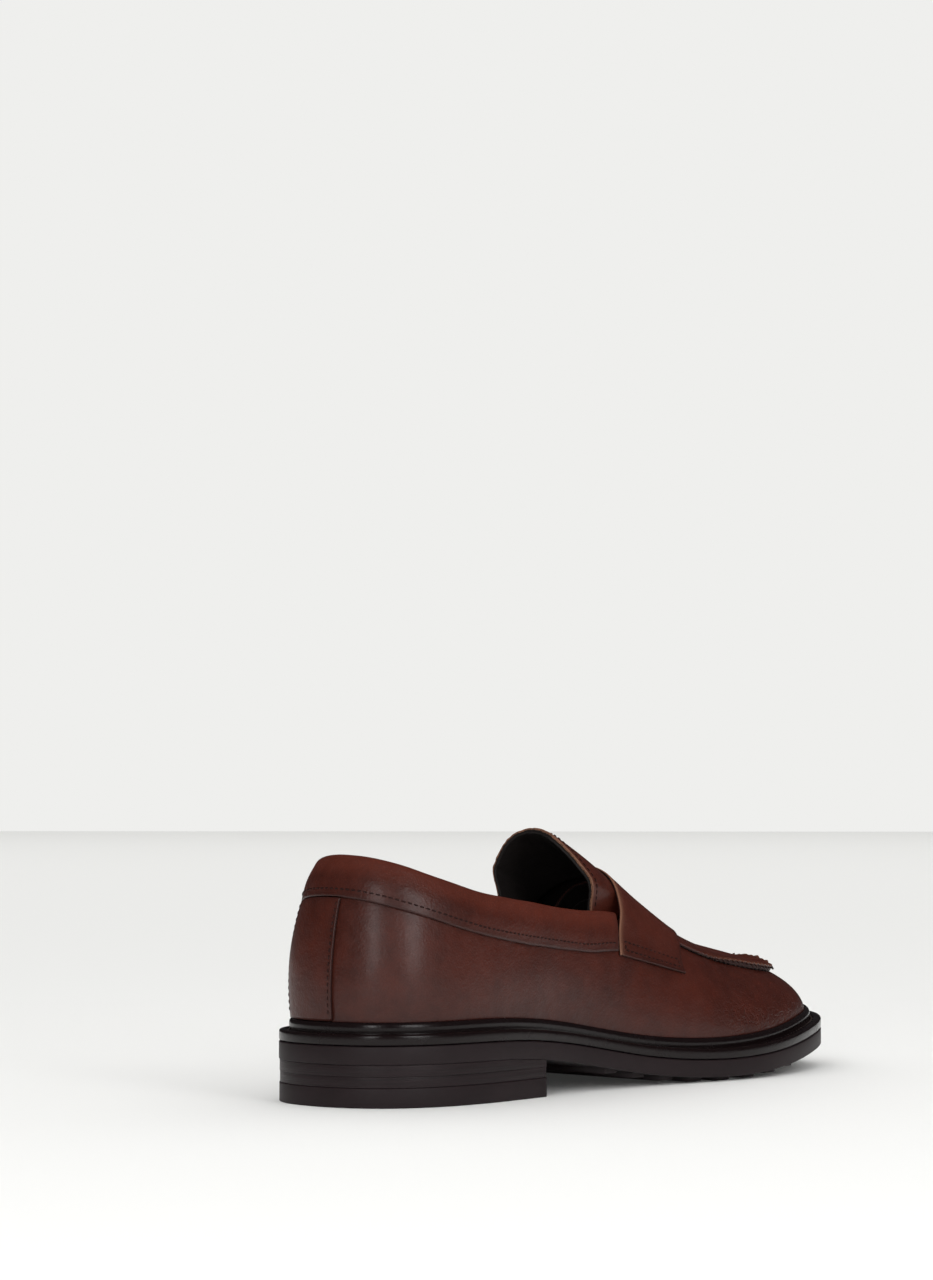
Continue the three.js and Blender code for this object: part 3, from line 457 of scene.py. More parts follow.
    def vamp_edge(self, t):
        rear = self.level_at(t, self.topline(t) - self.collar_fold)
        front = self.plug_seam(t) + PLUG_ALLOWANCE
        stops = [self.edge_y(x) for x in STRAP_TAB]
        return mix(rear, front, ease(stops[0], stops[1], self.edge_y(t)))

    def strap_place(self, k, w):
        """Place of a point in the strap, on the outer side: k runs from its back to its front."""
        back = mix(STRAP_TAB[0], STRAP_TOP[0], ease(0.2, 0.95, w))
        front = mix(STRAP_TAB[1], STRAP_TOP[1], ease(0.35, 1, w))
        return mix(back, front, k)

    def tongue_place(self, k, w, inner=False):
        side = np.where(inner, TONGUE_BACK[2], TONGUE_BACK[0])
        back = mix(side, TONGUE_BACK[1], ease(0.46, 0.9, w))
        front = mix(TONGUE_FRONT[0], TONGUE_FRONT[1], ease(0.3, 0.95, w))
        return mix(back, front, k)

    def tongue_out(self, t, w):
        tucked = self.lining_depth(t) + self.lining + self.overlay + GLUE_GAP + self.tongue_clearance
        return mix(-tucked, OVERLAY_GAP + self.overlay, ease(*TONGUE_TUCK, w))

    def collar_in(self, t):
        """Offset of the collar's inner leg, as a negative number."""
        return -(self.lining_depth(t) + self.lining + OVERLAY_GAP + self.overlay)

    def collar_span(self):
        return float(self.across(np.array(COLLAR_END))) - 1, COLLAR_END

    def collar_place(self, t, w):
        """The collar's grid leans to the strap's rear edge near its ends."""
        first, last = self.collar_span()
        run = 3 * STATION
        to_strap = self.strap_place(0, w) - COLLAR_TO_STRAP - COLLAR_END
        return t + to_strap * (ease(last - run, last, t) - ease(first + run, first, t))


# ---------------------------------------------------------------- meshes
class Surface:
    """Points, faces and shading marks of one piece, gathered grid by grid."""

    def __init__(self):
        self.points = []
        self.faces = []
        self.kinds = []
        self.marks = {}
        self.count = 0

    def add(self, points, **marks):
        """Adds a grid of points and returns their indices in the same layout."""
        flat = np.asarray(points, float).reshape(-1, 3)
        index = np.arange(self.count, self.count + len(flat)).reshape(np.shape(points)[:-1])
        self.points.append(flat)
        for key, value in marks.items():
            spread = np.broadcast_to(value, np.shape(points)[:-1]).reshape(-1)
            self.marks.setdefault(key, []).append((self.count, spread))
        self.count += len(flat)
        return index

    def skin_over(self, index, kind=0, wrap=False, flip=False):
        """Faces over a grid of indices. wrap joins its last column to its first."""
        if wrap:
            index = np.concatenate([index, index[:, :1]], axis=1)
        a, b, c, d = index[:-1, :-1], index[1:, :-1], index[1:, 1:], index[:-1, 1:]
        quads = np.stack([a, d, c, b] if flip else [a, b, c, d], -1).reshape(-1, 4)
        self.faces.append(quads)
        self.kinds.append(np.full(len(quads), kind))

    def bridge(self, row, other, kind=0):
        self.skin_over(np.stack([row, other]), kind)

    def close_edges(self, face, back):
        """Cut edges between a face's grid and its back's."""
        for cut in (np.s_[0], np.s_[-1], np.s_[:, 0], np.s_[:, -1]):
            self.bridge(face[cut], back[cut], 2)

    def absorb(self, other):
        """Takes over another surface's points and faces."""
        for block, kinds in zip(other.faces, other.kinds):
            self.faces.append(block + self.count)
            self.kinds.append(kinds)
        self.points += other.points
        self.count += other.count

    def build(self, name, materials, weld=0.0):
        """Makes the object, in metres."""
        mesh = bpy.data.meshes.new(name)
        points = np.concatenate(self.points) / 1000
        mesh.from_pydata(points.tolist(), [], [face for block in self.faces for face in block.tolist()])
        mesh.polygons.foreach_set("material_index", np.concatenate(self.kinds).astype(np.int32))
        mesh.polygons.foreach_set("use_smooth", np.ones(len(mesh.polygons), bool))
        for key, runs in self.marks.items():
            values = np.zeros(self.count, np.float32)
            for start, run in runs:
                values[start : start + len(run)] = run
            mesh.attributes.new(key, "FLOAT", "POINT").data.foreach_set("value", values)
        for material in materials:
            mesh.materials.append(material)
        tidy_mesh(mesh, weld)
        piece = bpy.data.objects.new(name, mesh)
        bpy.context.scene.collection.objects.link(piece)
        return piece


def tidy_mesh(mesh, weld):
    """Joins points that lie together, and turns every face outwards."""
    work = bmesh.new()
    work.from_mesh(mesh)
    if weld:
        bmesh.ops.remove_doubles(work, verts=work.verts, dist=weld)
        bmesh.ops.dissolve_degenerate(work, edges=work.edges, dist=1e-7)
    bmesh.ops.recalc_face_normals(work, faces=work.faces)
    work.to_mesh(mesh)
    work.free()


def lines(count, span, radius, ends=(True, True)):
    """Grid lines over one direction of a sheet, closer at its rounded edges.

    Returns the lines from 0 to 1, their distance to the nearest edge in mm and the edge's rounding there.
    """
    at = np.linspace(0, 1, count)
    steps = np.array([0, 0.08, 0.3, 0.6, 1, 1.8]) * radius / span
    if ends[0]:
        at = np.concatenate([steps, at[at > steps[-1] * 1.3]])
    if ends[1]:
        at = np.concatenate([at[at < 1 - steps[-1] * 1.3], 1 - steps[::-1]])
    gap = np.full(len(at), 1e3)
    if ends[0]:
        gap = np.minimum(gap, at * span)
    if ends[1]:
        gap = np.minimum(gap, (1 - at) * span)
    near = np.clip(1 - gap / radius, 0, 1)
    return at, gap, radius * (1 - np.sqrt(np.maximum(1 - near * near, 0)))


def sheet(last, rows, columns, place, out, thickness, marks=None):
    """A sheet of leather with rounded edges: kind 0 is its face, 1 its back and 2 its cut edge.

    place gives t and w over the grid, and out the offset of its face from the upper's surface.
    """
    u, gap_u, drop_u = rows
    v, gap_v, drop_v = columns
    grid_u, grid_v = np.meshgrid(u, v, indexing="ij")
    t, w = place(grid_u, grid_v)
    base = last.skin(t, w)
    field = SimpleNamespace(
        u=grid_u,
        v=grid_v,
        t=t,
        w=w,
        base=base,
        gap=np.minimum(gap_u[:, None], gap_v[None, :]),
        across=path_length(base, 1),
        along=path_length(base, 0),
    )
    drop = np.maximum(drop_u[:, None], drop_v[None, :])
    offset = out(field)
    surface = Surface()
    values = marks(field) if marks else {}
    values.setdefault("burnish", np.exp(-field.gap / 1.2))
    outer = last.layer(t, w, offset - drop)
    depth = thickness(field) if callable(thickness) else thickness
    inner = last.layer(t, w, offset - depth + drop)
    face = surface.add(outer, **values)
    back = surface.add(inner)
    surface.skin_over(face, 0)
    surface.skin_over(back, 1, flip=True)
    surface.close_edges(face, back)
    return surface


def plate(last, profile, start=None, stop=None, count=150):
    """A plate that follows the outline: profile is [(inset(y), height(y))] from its top round to its foot.

    It can be cut off square at y = start or y = stop.
    """
    first = last.back if start is None else float(np.interp(start, *last._outer))
    final = last.tip if stop is None else float(np.interp(stop, *last._outer))
    k = np.linspace(0, 1, count)
    outer = mix(first, final, k)
    inner = last.across(outer)
    inner = np.where(outer >= last.tip - 1e-9, last.tip, inner)
    if start is None:
        inner[0] = last.back + 1
    surface = Surface()
    sides = []
    for t in (outer, inner):
        y = last.edge_y(t)
        rings = []
        for inset, height in profile:
            flat = last.outline(t, np.broadcast_to(inset(y), t.shape))
            if start is not None:
                flat[0, 1] = start
            if stop is not None:
                flat[-1, 1] = stop
            rings.append(np.concatenate([flat, height(flat[:, 1])[:, None]], -1))
        sides.append(surface.add(np.stack(rings)))
    for side in sides:
        surface.skin_over(side, 0)
    for ring in (0, -1):
        surface.skin_over(np.stack([sides[0][ring], sides[1][ring]]), 1)
    for cut, at in ((start, 0), (stop, -1)):
        if cut is not None:
            surface.skin_over(np.stack([sides[0][:, at], sides[1][:, at]]), 0)
    return surface


def even(value):
    """A plate's inset or height that is the same at every y."""
    return lambda y: 0 * y + value


def rounded_profile(inset, top, foot, radius):
    """A plate's side from its top face to its underside, with rounded corners."""
    corner = [(math.sin(a), math.cos(a)) for a in np.linspace(0, math.pi / 2, 5)]

    def turn(level, sign, s, c):
        return lambda y: inset(y) + radius * (1 - s), lambda y: level(y) + sign * radius * (1 - c)

    upper = [turn(top, -1, s, c) for s, c in corner]
    lower = [turn(foot, 1, s, c) for s, c in reversed(corner)]
    return upper + lower


def stitches(points, normals, pitch, size, thickness, lift, closed=False):
    """Short threads laid end to end along a line of points, each dipping into the leather at its ends."""
    if closed:
        points = np.concatenate([points, points[:1]])
        normals = np.concatenate([normals, normals[:1]])
    run = path_length(points, 0)
    total = max(int(run[-1] / pitch), 1)
    at = (np.arange(total) + 0.5) * run[-1] / total
    centre, tangent, up = resample(points, normals, run, at)
    return capsules(centre + up * lift, tangent, up, size, thickness)


def resample(points, normals, run, at):
    """Places, directions and normals at distances along a line."""
    read = lambda values, s: np.stack([np.interp(s, run, values[:, i]) for i in range(3)], -1)
    tangent = unit(read(points, at + 0.4) - read(points, at - 0.4))
    return read(points, at), tangent, unit(read(normals, at))


def capsules(centre, tangent, up, size, thickness, sides=7):
    """One rounded thread at each centre, lying along tangent and bowed up in its middle."""
    surface = Surface()
    side = np.cross(tangent, up)
    stops = np.array([-0.5, -0.44, -0.28, 0, 0.28, 0.44, 0.5])
    widths = np.array([0.05, 0.6, 0.94, 1, 0.94, 0.6, 0.05]) * thickness / 2
    sag = (stops * 2) ** 4 * thickness * 0.7
    turn = np.linspace(0, 2 * math.pi, sides, endpoint=False)
    for c, d, u, s in zip(centre, tangent, up, side):
        middle = c + d * (stops * size)[:, None] - u * sag[:, None]
        ring = np.cos(turn)[:, None] * s + np.sin(turn)[:, None] * u
        index = surface.add(middle[:, None] + ring[None] * widths[:, None, None])
        surface.skin_over(index, 0, wrap=True)
        for cap in (index[0], index[-1]):
            surface.faces.append(np.array([[cap[0], cap[i], cap[i + 1]] for i in range(1, sides - 1)]))
            surface.kinds.append(np.zeros(sides - 2, int))
    return surface


# ---------------------------------------------------------------- materials
def add_node(tree, kind, inputs=None, **settings):
    """Adds a shader node, sets its options, and sets or links its inputs."""
    made = tree.nodes.new(kind)
    for key, value in settings.items():
        setattr(made, key, value)
    for key, value in (inputs or {}).items():
        if isinstance(value, bpy.types.NodeSocket):
            tree.links.new(value, made.inputs[key])
        else:
            made.inputs[key].default_value = value
    return made


def shade(tint, share):
    """A colour made darker or lighter by a share of itself."""
    return tuple(c * share for c in tint)


def tone(tree, factor, a, b):
    """A mix of two colours, each a plain colour or another node's output."""
    a, b = (c if isinstance(c, bpy.types.NodeSocket) else (*c, 1) for c in (a, b))
    return add_node(tree, "ShaderNodeMix", {0: factor, 6: a, 7: b}, data_type="RGBA").outputs[2]


def calc(tree, operation, a, b=0.0):
    return add_node(tree, "ShaderNodeMath", {0: a, 1: b}, operation=operation).outputs[0]


def remap(tree, value, low, high, to_low=0.0, to_high=1.0):
    inputs = {0: value, 1: low, 2: high, 3: to_low, 4: to_high}
    return add_node(tree, "ShaderNodeMapRange", inputs).outputs[0]


def mark(tree, name):
    return add_node(tree, "ShaderNodeAttribute", attribute_name=name).outputs["Fac"]


def place_in_mm(tree, stretch=(1, 1, 1)):
    """The point's own place in millimetres, with each axis divided by stretch."""
    at = add_node(tree, "ShaderNodeTexCoord").outputs["Object"]
    scale = tuple(1000 / s for s in stretch)
    return add_node(tree, "ShaderNodeMapping", {"Vector": at, "Scale": scale}).outputs[0]


def noise(tree, at, size, detail=3.0, roughness=0.55):
    """Noise with blotches about size millimetres wide."""
    inputs = {"Vector": at, "Scale": 1 / size, "Detail": detail, "Roughness": roughness}
    return add_node(tree, "ShaderNodeTexNoise", inputs).outputs[0]


def cells(tree, at, size):
    """Distance to the middle of the nearest cell, with cells about size millimetres wide."""
    return add_node(tree, "ShaderNodeTexVoronoi", {"Vector": at, "Scale": 1 / size}).outputs[0]


def new_material(name):
    made = bpy.data.materials.new(LOOK + name)
    made.use_nodes = True
    made.node_tree.nodes.clear()
    return made, made.node_tree


def finish_material(tree, inputs, height=None, depth=0.05):
    """Ends a material in a Principled shader, with a bump of depth millimetres."""
    if height is not None:
        bump = {"Height": height, "Distance": depth / 1000, "Strength": 1.0}
        inputs = {**inputs, "Normal": add_node(tree, "ShaderNodeBump", bump).outputs[0]}
    shader = add_node(tree, "ShaderNodeBsdfPrincipled", inputs)
    add_node(tree, "ShaderNodeOutputMaterial", {"Surface": shader.outputs[0]})


def calf_leather(colours):
    """Polished brown calf: cloudy depth of colour, fine pores, darker burnished edges, painted shade in a
    few places and a painted sheen on upward-facing parts.
    """
    made, tree = new_material("calf_leather")
    at = place_in_mm(tree)
    cloud = remap(tree, noise(tree, at, 42, 3), 0.36, 0.64)
    patch = remap(tree, noise(tree, at, 7, 4), 0.3, 0.7)
    pores = cells(tree, at, 0.85)
    body = tone(tree, calc(tree, "MULTIPLY", cloud, 0.5), colours.calf, colours.calf_dark)
    body = tone(tree, calc(tree, "MULTIPLY", patch, 0.22), body, colours.calf_light)
    body = tone(tree, remap(tree, pores, 0.25, 0.0, 0.0, 0.25), body, colours.calf_dark)
    # Painted sheen: lighter on the upward-facing pieces and the collar's rounded top, partly also rubbed
    # wear.
    body = tone(tree, calc(tree, "MULTIPLY", mark(tree, "rub"), 0.7), body, colours.calf_light)
    # Darker towards the edge colour: burnished cut edges, and painted shade at the toe, by the plug's seam,
    # at the strap's low ends and at the tongue's front.
    body = tone(tree, calc(tree, "MULTIPLY", mark(tree, "burnish"), 0.8), body, colours.edge)
    body = tone(tree, mark(tree, "raw"), body, colours.flesh)
    folds = noise(tree, place_in_mm(tree, (5, 3.4, 3.4)), 1, 2)
    creases = calc(tree, "ABSOLUTE", calc(tree, "SUBTRACT", folds, 0.5))
    depth = calc(tree, "MULTIPLY", mark(tree, "crease"), 0.8)
    creases = calc(tree, "MULTIPLY", remap(tree, creases, 0.0, 0.09), depth)
    grain = calc(tree, "ADD", calc(tree, "MULTIPLY", pores, 0.35), noise(tree, at, 2.4, 4, 0.6))
    height = calc(tree, "ADD", grain, creases)
    rough = remap(tree, noise(tree, at, 5, 4), 0.3, 0.7, 0.36, 0.48)
    rough = calc(tree, "ADD", rough, calc(tree, "MULTIPLY", mark(tree, "raw"), 0.35))
    inputs = {"Base Color": body, "Roughness": rough, "Specular IOR Level": 0.3}
    inputs.update({"Coat Weight": 0.14, "Coat Roughness": 0.22})
    finish_material(tree, inputs, height, 0.2)
    return made


def cut_edge(colours):
    """Cut edge of the upper leather, painted dark and slightly uneven."""
    made, tree = new_material("cut_edge")
    fuzz = noise(tree, place_in_mm(tree), 0.7, 4, 0.7)
    body = tone(tree, calc(tree, "MULTIPLY", fuzz, 0.5), colours.edge, colours.calf)
    finish_material(tree, {"Base Color": body, "Roughness": 0.6}, fuzz, 0.12)
    return made


def raw_edge(colours):
    """Unpainted cut edge: tan fibres with dark gaps."""
    made, tree = new_material("raw_edge")
    fibre = noise(tree, place_in_mm(tree, (1, 1, 1)), 0.9, 5, 0.75)
    body = tone(tree, remap(tree, fibre, 0.35, 0.65), colours.calf_dark, colours.flesh)
    finish_material(tree, {"Base Color": body, "Roughness": 0.9}, fibre, 0.3)
    return made


def lining_leather(colours):
    """Matt black lining leather with a fine pebble grain."""
    made, tree = new_material("lining_leather")
    at = place_in_mm(tree)
    pebbles = cells(tree, at, 1.1)
    body = tone(tree, noise(tree, at, 18, 3), colours.lining, shade(colours.lining, 1.9))
    finish_material(tree, {"Base Color": body, "Roughness": 0.62, "Specular IOR Level": 0.35}, pebbles, 0.08)
    return made


def storm_welt(colours):
    """Glossy waxed welt, nearly black with a warm cast."""
    made, tree = new_material("storm_welt")
    at = place_in_mm(tree)
    smear = noise(tree, at, 9, 4)
    body = tone(tree, calc(tree, "MULTIPLY", smear, 0.4), colours.welt, colours.stack)
    rough = remap(tree, smear, 0.3, 0.7, 0.17, 0.3)
    inputs = {"Base Color": body, "Roughness": rough, "Specular IOR Level": 0.26}
    finish_material(tree, inputs, noise(tree, at, 1.6, 4, 0.6), 0.05)
    return made


def sole_rubber(colours):
    """Matt moulded rubber with a faint bloom."""
    made, tree = new_material("sole_rubber")
    at = place_in_mm(tree)
    bloom = remap(tree, noise(tree, at, 14, 4), 0.4, 0.7)
    body = tone(tree, calc(tree, "MULTIPLY", bloom, 0.3), colours.rubber, shade(colours.rubber, 1.7))
    inputs = {"Base Color": body, "Roughness": 0.5, "Specular IOR Level": 0.22}
    finish_material(tree, inputs, noise(tree, at, 0.6, 3, 0.7), 0.04)
    return made


def heel_stack(colours):
    """Stained layers of leather: fine level streaks along the heel's side."""
    made, tree = new_material("heel_stack")
    streaks = noise(tree, place_in_mm(tree, (26, 26, 0.42)), 1, 4, 0.65)
    wide = noise(tree, place_in_mm(tree, (60, 60, 1.7)), 1, 2)
    body = tone(tree, remap(tree, streaks, 0.35, 0.68), colours.stack, shade(colours.stack, 1.9))
    body = tone(tree, remap(tree, wide, 0.5, 0.75, 0.0, 0.5), body, shade(colours.stack, 0.5))
    rough = remap(tree, streaks, 0.3, 0.7, 0.34, 0.5)
    inputs = {"Base Color": body, "Roughness": rough, "Specular IOR Level": 0.25}
    finish_material(tree, inputs, calc(tree, "ADD", streaks, wide), 0.12)
    return made


def thread_material(name, tint):
    """Waxed twisted thread."""
    made, tree = new_material(name)
    twist = noise(tree, place_in_mm(tree), 0.35, 2)
    body = tone(tree, twist, tint, shade(tint, 0.45))
    inputs = {"Base Color": body, "Roughness": 0.6, "Specular IOR Level": 0.2}
    finish_material(tree, inputs, twist, 0.06)
    return made


def fibre_board(colours):
    """Pressed fibre board with short flecks."""
    made, tree = new_material("fibre_board")
    flecks = noise(tree, place_in_mm(tree, (4, 1, 1)), 0.8, 4, 0.7)
    body = tone(tree, remap(tree, flecks, 0.35, 0.7), colours.board, shade(colours.board, 0.55))
    finish_material(tree, {"Base Color": body, "Roughness": 0.9}, flecks, 0.08)
    return made


def cork(colours):
    """Ground cork set in resin."""
    made, tree = new_material("cork")
    grains = cells(tree, place_in_mm(tree), 2.4)
    body = tone(tree, remap(tree, grains, 0.2, 0.6), colours.cork, shade(colours.cork, 0.4))
    finish_material(tree, {"Base Color": body, "Roughness": 0.9}, grains, 0.2)
    return made


def foam(colours):
    """Open-cell foam."""
    made, tree = new_material("foam")
    pores = cells(tree, place_in_mm(tree), 0.6)
    body = tone(tree, remap(tree, pores, 0.1, 0.4), shade(colours.foam, 0.6), colours.foam)
    finish_material(tree, {"Base Color": body, "Roughness": 0.95}, pores, 0.2)
    return made


def steel(colours):
    """Drawn steel with fine marks along its length."""
    made, tree = new_material("steel")
    brush = noise(tree, place_in_mm(tree, (0.2, 12, 0.2)), 1, 3)
    rough = remap(tree, brush, 0.3, 0.7, 0.28, 0.45)
    inputs = {"Base Color": (*colours.steel, 1), "Metallic": 1.0, "Roughness": rough}
    finish_material(tree, inputs, brush, 0.01)
    return made


MATERIALS = {
    "calf_leather": calf_leather,
    "cut_edge": cut_edge,
    "raw_edge": raw_edge,
    "lining_leather": lining_leather,
    "storm_welt": storm_welt,
    "sole_rubber": sole_rubber,
    "heel_stack": heel_stack,
    "upper_thread": lambda colours: thread_material("upper_thread", colours.thread),
    "welt_thread": lambda colours: thread_material("welt_thread", colours.welt_thread),
    "fibre_board": fibre_board,
    "cork": cork,
    "foam": foam,
    "steel": steel,
}


def material(name, colours):
    """The material made here under that name, made on its first use."""
    return bpy.data.materials.get(LOOK + name) or MATERIALS[name](colours)


# ---------------------------------------------------------------- the upper
def arch_place(last, low, line=lambda u, w: u):
    """Grid over the foot: v runs from the outer side's low level over the middle to the inner side's."""

    def place(u, v):
        rise = 1 - np.abs(v * 2 - 1)
        w = mix(low(u, rise), 1, rise)
        outer = line(u, w)
        return np.where(v <= 0.5, outer, last.across(outer)), w

    return place


def soft(last, field, seed, share=1.0):
    """Soft unevenness of leather that was pulled over a last."""
    return last.undulation * share * waves(field.base, seed, 20, 75)


def vamp_surface(last):
    def place(u, v):
        t = mix(BACK_SEAM, 1 - BACK_SEAM, u)
        return t, v * last.vamp_edge(t)

    def fields(f):
        f.outer = last.outer_place(f.t)
        f.below = f.across[:, -1:] - f.across
        f.front = ease(STRAP_TAB[1], 28 * STATION, f.outer)

    def out(f):
        fields(f)
        gather = np.cos(f.along[:, -1:] * 2 * math.pi / GATHER_PITCH) * np.exp(-f.below / 4.5) * f.front
        return soft(last, f, 3) + last.pucker * (gather - np.exp(-f.below / 3) * f.front)

    def marks(f):
        flex = ease(23, 27, f.outer / STATION) * (1 - ease(32, 36, f.outer / STATION))
        # Darker along the vamp's foot, by the welt.
        low = np.exp(-f.across / 5) * 0.5
        # Painted shade: the toe is made darker.
        toe = 0.9 * ease(31, 38, f.outer / STATION)
        # Painted shadow along the plug's seam, where the plug's edge overhangs the vamp.
        seam = np.exp(-f.below / 4) * f.front
        return {"burnish": np.clip(low + toe + seam * 0.8, 0, 1), "crease": flex, "rub": 0.0}

    rows = lines(760, 720, VAMP_ROUNDING, (False, False))
    columns = lines(48, 60, VAMP_ROUNDING, (False, True))
    return sheet(last, rows, columns, place, out, last.leather, marks)


def plug_out(last, t, w):
    """Offset of the plug's face. In front of the strap its edge stands up as a rim, highest at the toe."""
    k = last.outer_place(t) / STATION
    lip = mix(last.plug_lip, last.plug_front_lip, ease(34, 38, k)) * ease(27, 30, k)
    return CLOSE + last.leather + lip * (1 - ease(0, 0.1, w - last.plug_seam(t)))


def plug_surface(last):
    def out(f):
        to_seam = np.minimum(f.across, f.across[:, -1:] - f.across)
        seam = np.where(f.v <= 0.5, f.along[:, :1], f.along[:, -1:])
        gather = np.cos(seam * 2 * math.pi / GATHER_PITCH) * np.exp(-to_seam / 2.5)
        k = last.outer_place(f.t) / STATION
        rough = 0.3 * waves(f.base, 17, 1.6, 6) * np.exp(-to_seam / 3) * ease(33, 37, k)
        return plug_out(last, f.t, f.w) + soft(last, f, 5) + last.pucker * gather * ease(24, 28, k) + rough

    def marks(f):
        k = last.outer_place(f.t) / STATION
        raw = np.exp(-f.gap / 0.9) * (0.25 + 0.6 * ease(34, 38, k)) * ease(26, 29, k)
        # A darker band about 3 mm inside the plug's edge.
        rim = np.exp(-np.abs(f.gap - 3) / 2) * 0.5
        # Painted sheen: the whole plug is lightened a little as an upward-facing piece.
        return {"burnish": rim, "raw": raw, "crease": 0.35, "rub": 0.15}

    low = lambda u, rise: last.plug_seam(mix(PLUG_BACK, last.tip, u))
    place = arch_place(last, low, lambda u, w: mix(PLUG_BACK, last.tip, u))
    rows = lines(190, 160, PLUG_ROUNDING, (False, False))
    columns = lines(120, 90, PLUG_ROUNDING)
    thick = lambda f: plug_out(last, f.t, f.w) - CLOSE
    return sheet(last, rows, columns, place, out, thick, marks)


def strap_out(last, w):
    """Offset of the strap's face: on the vamp at its ends, over the plug in the middle."""
    return CLOSE + last.overlay + (last.leather + CLOSE) * ease(*STRAP_OVER_PLUG, w)


def strap_end(k):
    return STRAP_END_LEVEL + STRAP_END_RISE * k


def strap_surface(last):
    def out(f):
        to_end = np.minimum(f.across, f.across[:, -1:] - f.across)
        rows = sum(np.exp(-(((to_end - d) / 0.5) ** 2)) for d in STRAP_GROOVES)
        middle = np.exp(-((f.across - f.across[:, -1:] / 2) ** 2) / 30)
        crest = 0.5 * middle * ease(0.5, 0.85, f.u)
        return strap_out(last, f.w) + soft(last, f, 8, 0.7) - 0.14 * rows + crest

    def marks(f):
        to_end = np.minimum(f.across, f.across[:, -1:] - f.across)
        rear = np.exp(-f.u * 30 / 0.7)
        # Burnished edges, and painted shade that darkens the strap's low ends.
        burnish = np.exp(-f.gap / 1.1) * (f.u > 0.3) + 0.7 * np.exp(-to_end / 9)
        # Painted sheen: the whole strap is lightened a little as an upward-facing piece.
        return {"burnish": np.clip(burnish, 0, 1), "raw": rear * 0.8, "rub": 0.2}

    place = arch_place(last, lambda u, rise: strap_end(u), last.strap_place)
    rows = lines(46, 34, OVERLAY_ROUNDING)
    columns = lines(170, 150, OVERLAY_ROUNDING)
    return sheet(last, rows, columns, place, out, last.overlay, marks)


def cut_slot(last, strap):
    """Cuts the penny slot, a lens across the middle of the strap."""
    middle = last.skin(np.array(last.strap_place(0.5, 1.0)), np.array(1.0))
    half = last.slot_length / 2
    x = np.linspace(-half, half, 25)
    bow = (1 - (x / half) ** 2) * last.slot_width / 2
    ring = np.concatenate([np.stack([x, bow], -1), np.stack([x[-2:0:-1], -bow[-2:0:-1]], -1)])
    surface = Surface()
    heights = (middle[2] - SLOT_CUTTER_REACH, middle[2] + SLOT_CUTTER_REACH)
    levels = [np.c_[ring + middle[:2], np.full(len(ring), z)] for z in heights]
    index = surface.add(np.stack(levels))
    surface.skin_over(index, 0, wrap=True)
    for row in index:
        surface.faces.append(row[None, :])
        surface.kinds.append(np.zeros(1, int))
    cutter = surface.build("slot_cutter", [])
    cut = strap.modifiers.new("slot", "BOOLEAN")
    cut.operation = "DIFFERENCE"
    cut.object = cutter
    cut.solver = "EXACT"
    apply_modifiers(strap)
    bpy.data.objects.remove(cutter)


def apply_modifiers(piece):
    graph = bpy.context.evaluated_depsgraph_get()
    mesh = bpy.data.meshes.new_from_object(piece.evaluated_get(graph))
    piece.modifiers.clear()
    piece.data = mesh


def tongue_surface(last, depth, thickness, marks):
    def out(f):
        ragged = 0.12 * waves(f.base, 12, 1.5, 5) * np.exp(-f.gap)
        return last.tongue_out(f.t, f.w) - depth + soft(last, f, 9, 0.6) + ragged

    def place(u, v):
        w = mix(TONGUE_LOW, 1, 1 - np.abs(v * 2 - 1))
        outer = last.tongue_place(u, w, v > 0.5)
        return np.where(v <= 0.5, outer, last.across(outer)), w

    rows = lines(52, 36, TONGUE_ROUNDING)
    columns = lines(170, 150, TONGUE_ROUNDING)
    return sheet(last, rows, columns, place, out, thickness, marks)


def tongue_marks(f):
    rear = np.exp(-f.u * 36 / 0.8)
    # Painted shade darkens the tongue towards its front, where it runs under the strap; a painted sheen
    # lightens it a little as an upward-facing piece.
    return {"raw": rear * 0.75, "burnish": 0.35 * ease(0.5, 1, f.u), "rub": 0.1}


def collar_leg(last, t, s):
    """A point on the collar's outer leg: s runs from its cut edge (0) to where the fold starts (1)."""
    shoulder, _ = collar_fold(last, t)
    low = last.level_at(t, last.topline(t) - last.collar_depth)
    w = mix(low, shoulder, s)
    out = mix(CLOSE + last.overlay, OVERLAY_GAP + last.overlay, ease(0, 0.6, s))
    return last.collar_place(t, w), w, out + 0.35 * np.sin(np.clip(s, 0, 1) * math.pi)


def collar_fold(last, t):
    radius = (OVERLAY_GAP + last.overlay - last.collar_in(t)) / 2
    return last.level_at(t, last.topline(t) - radius), radius


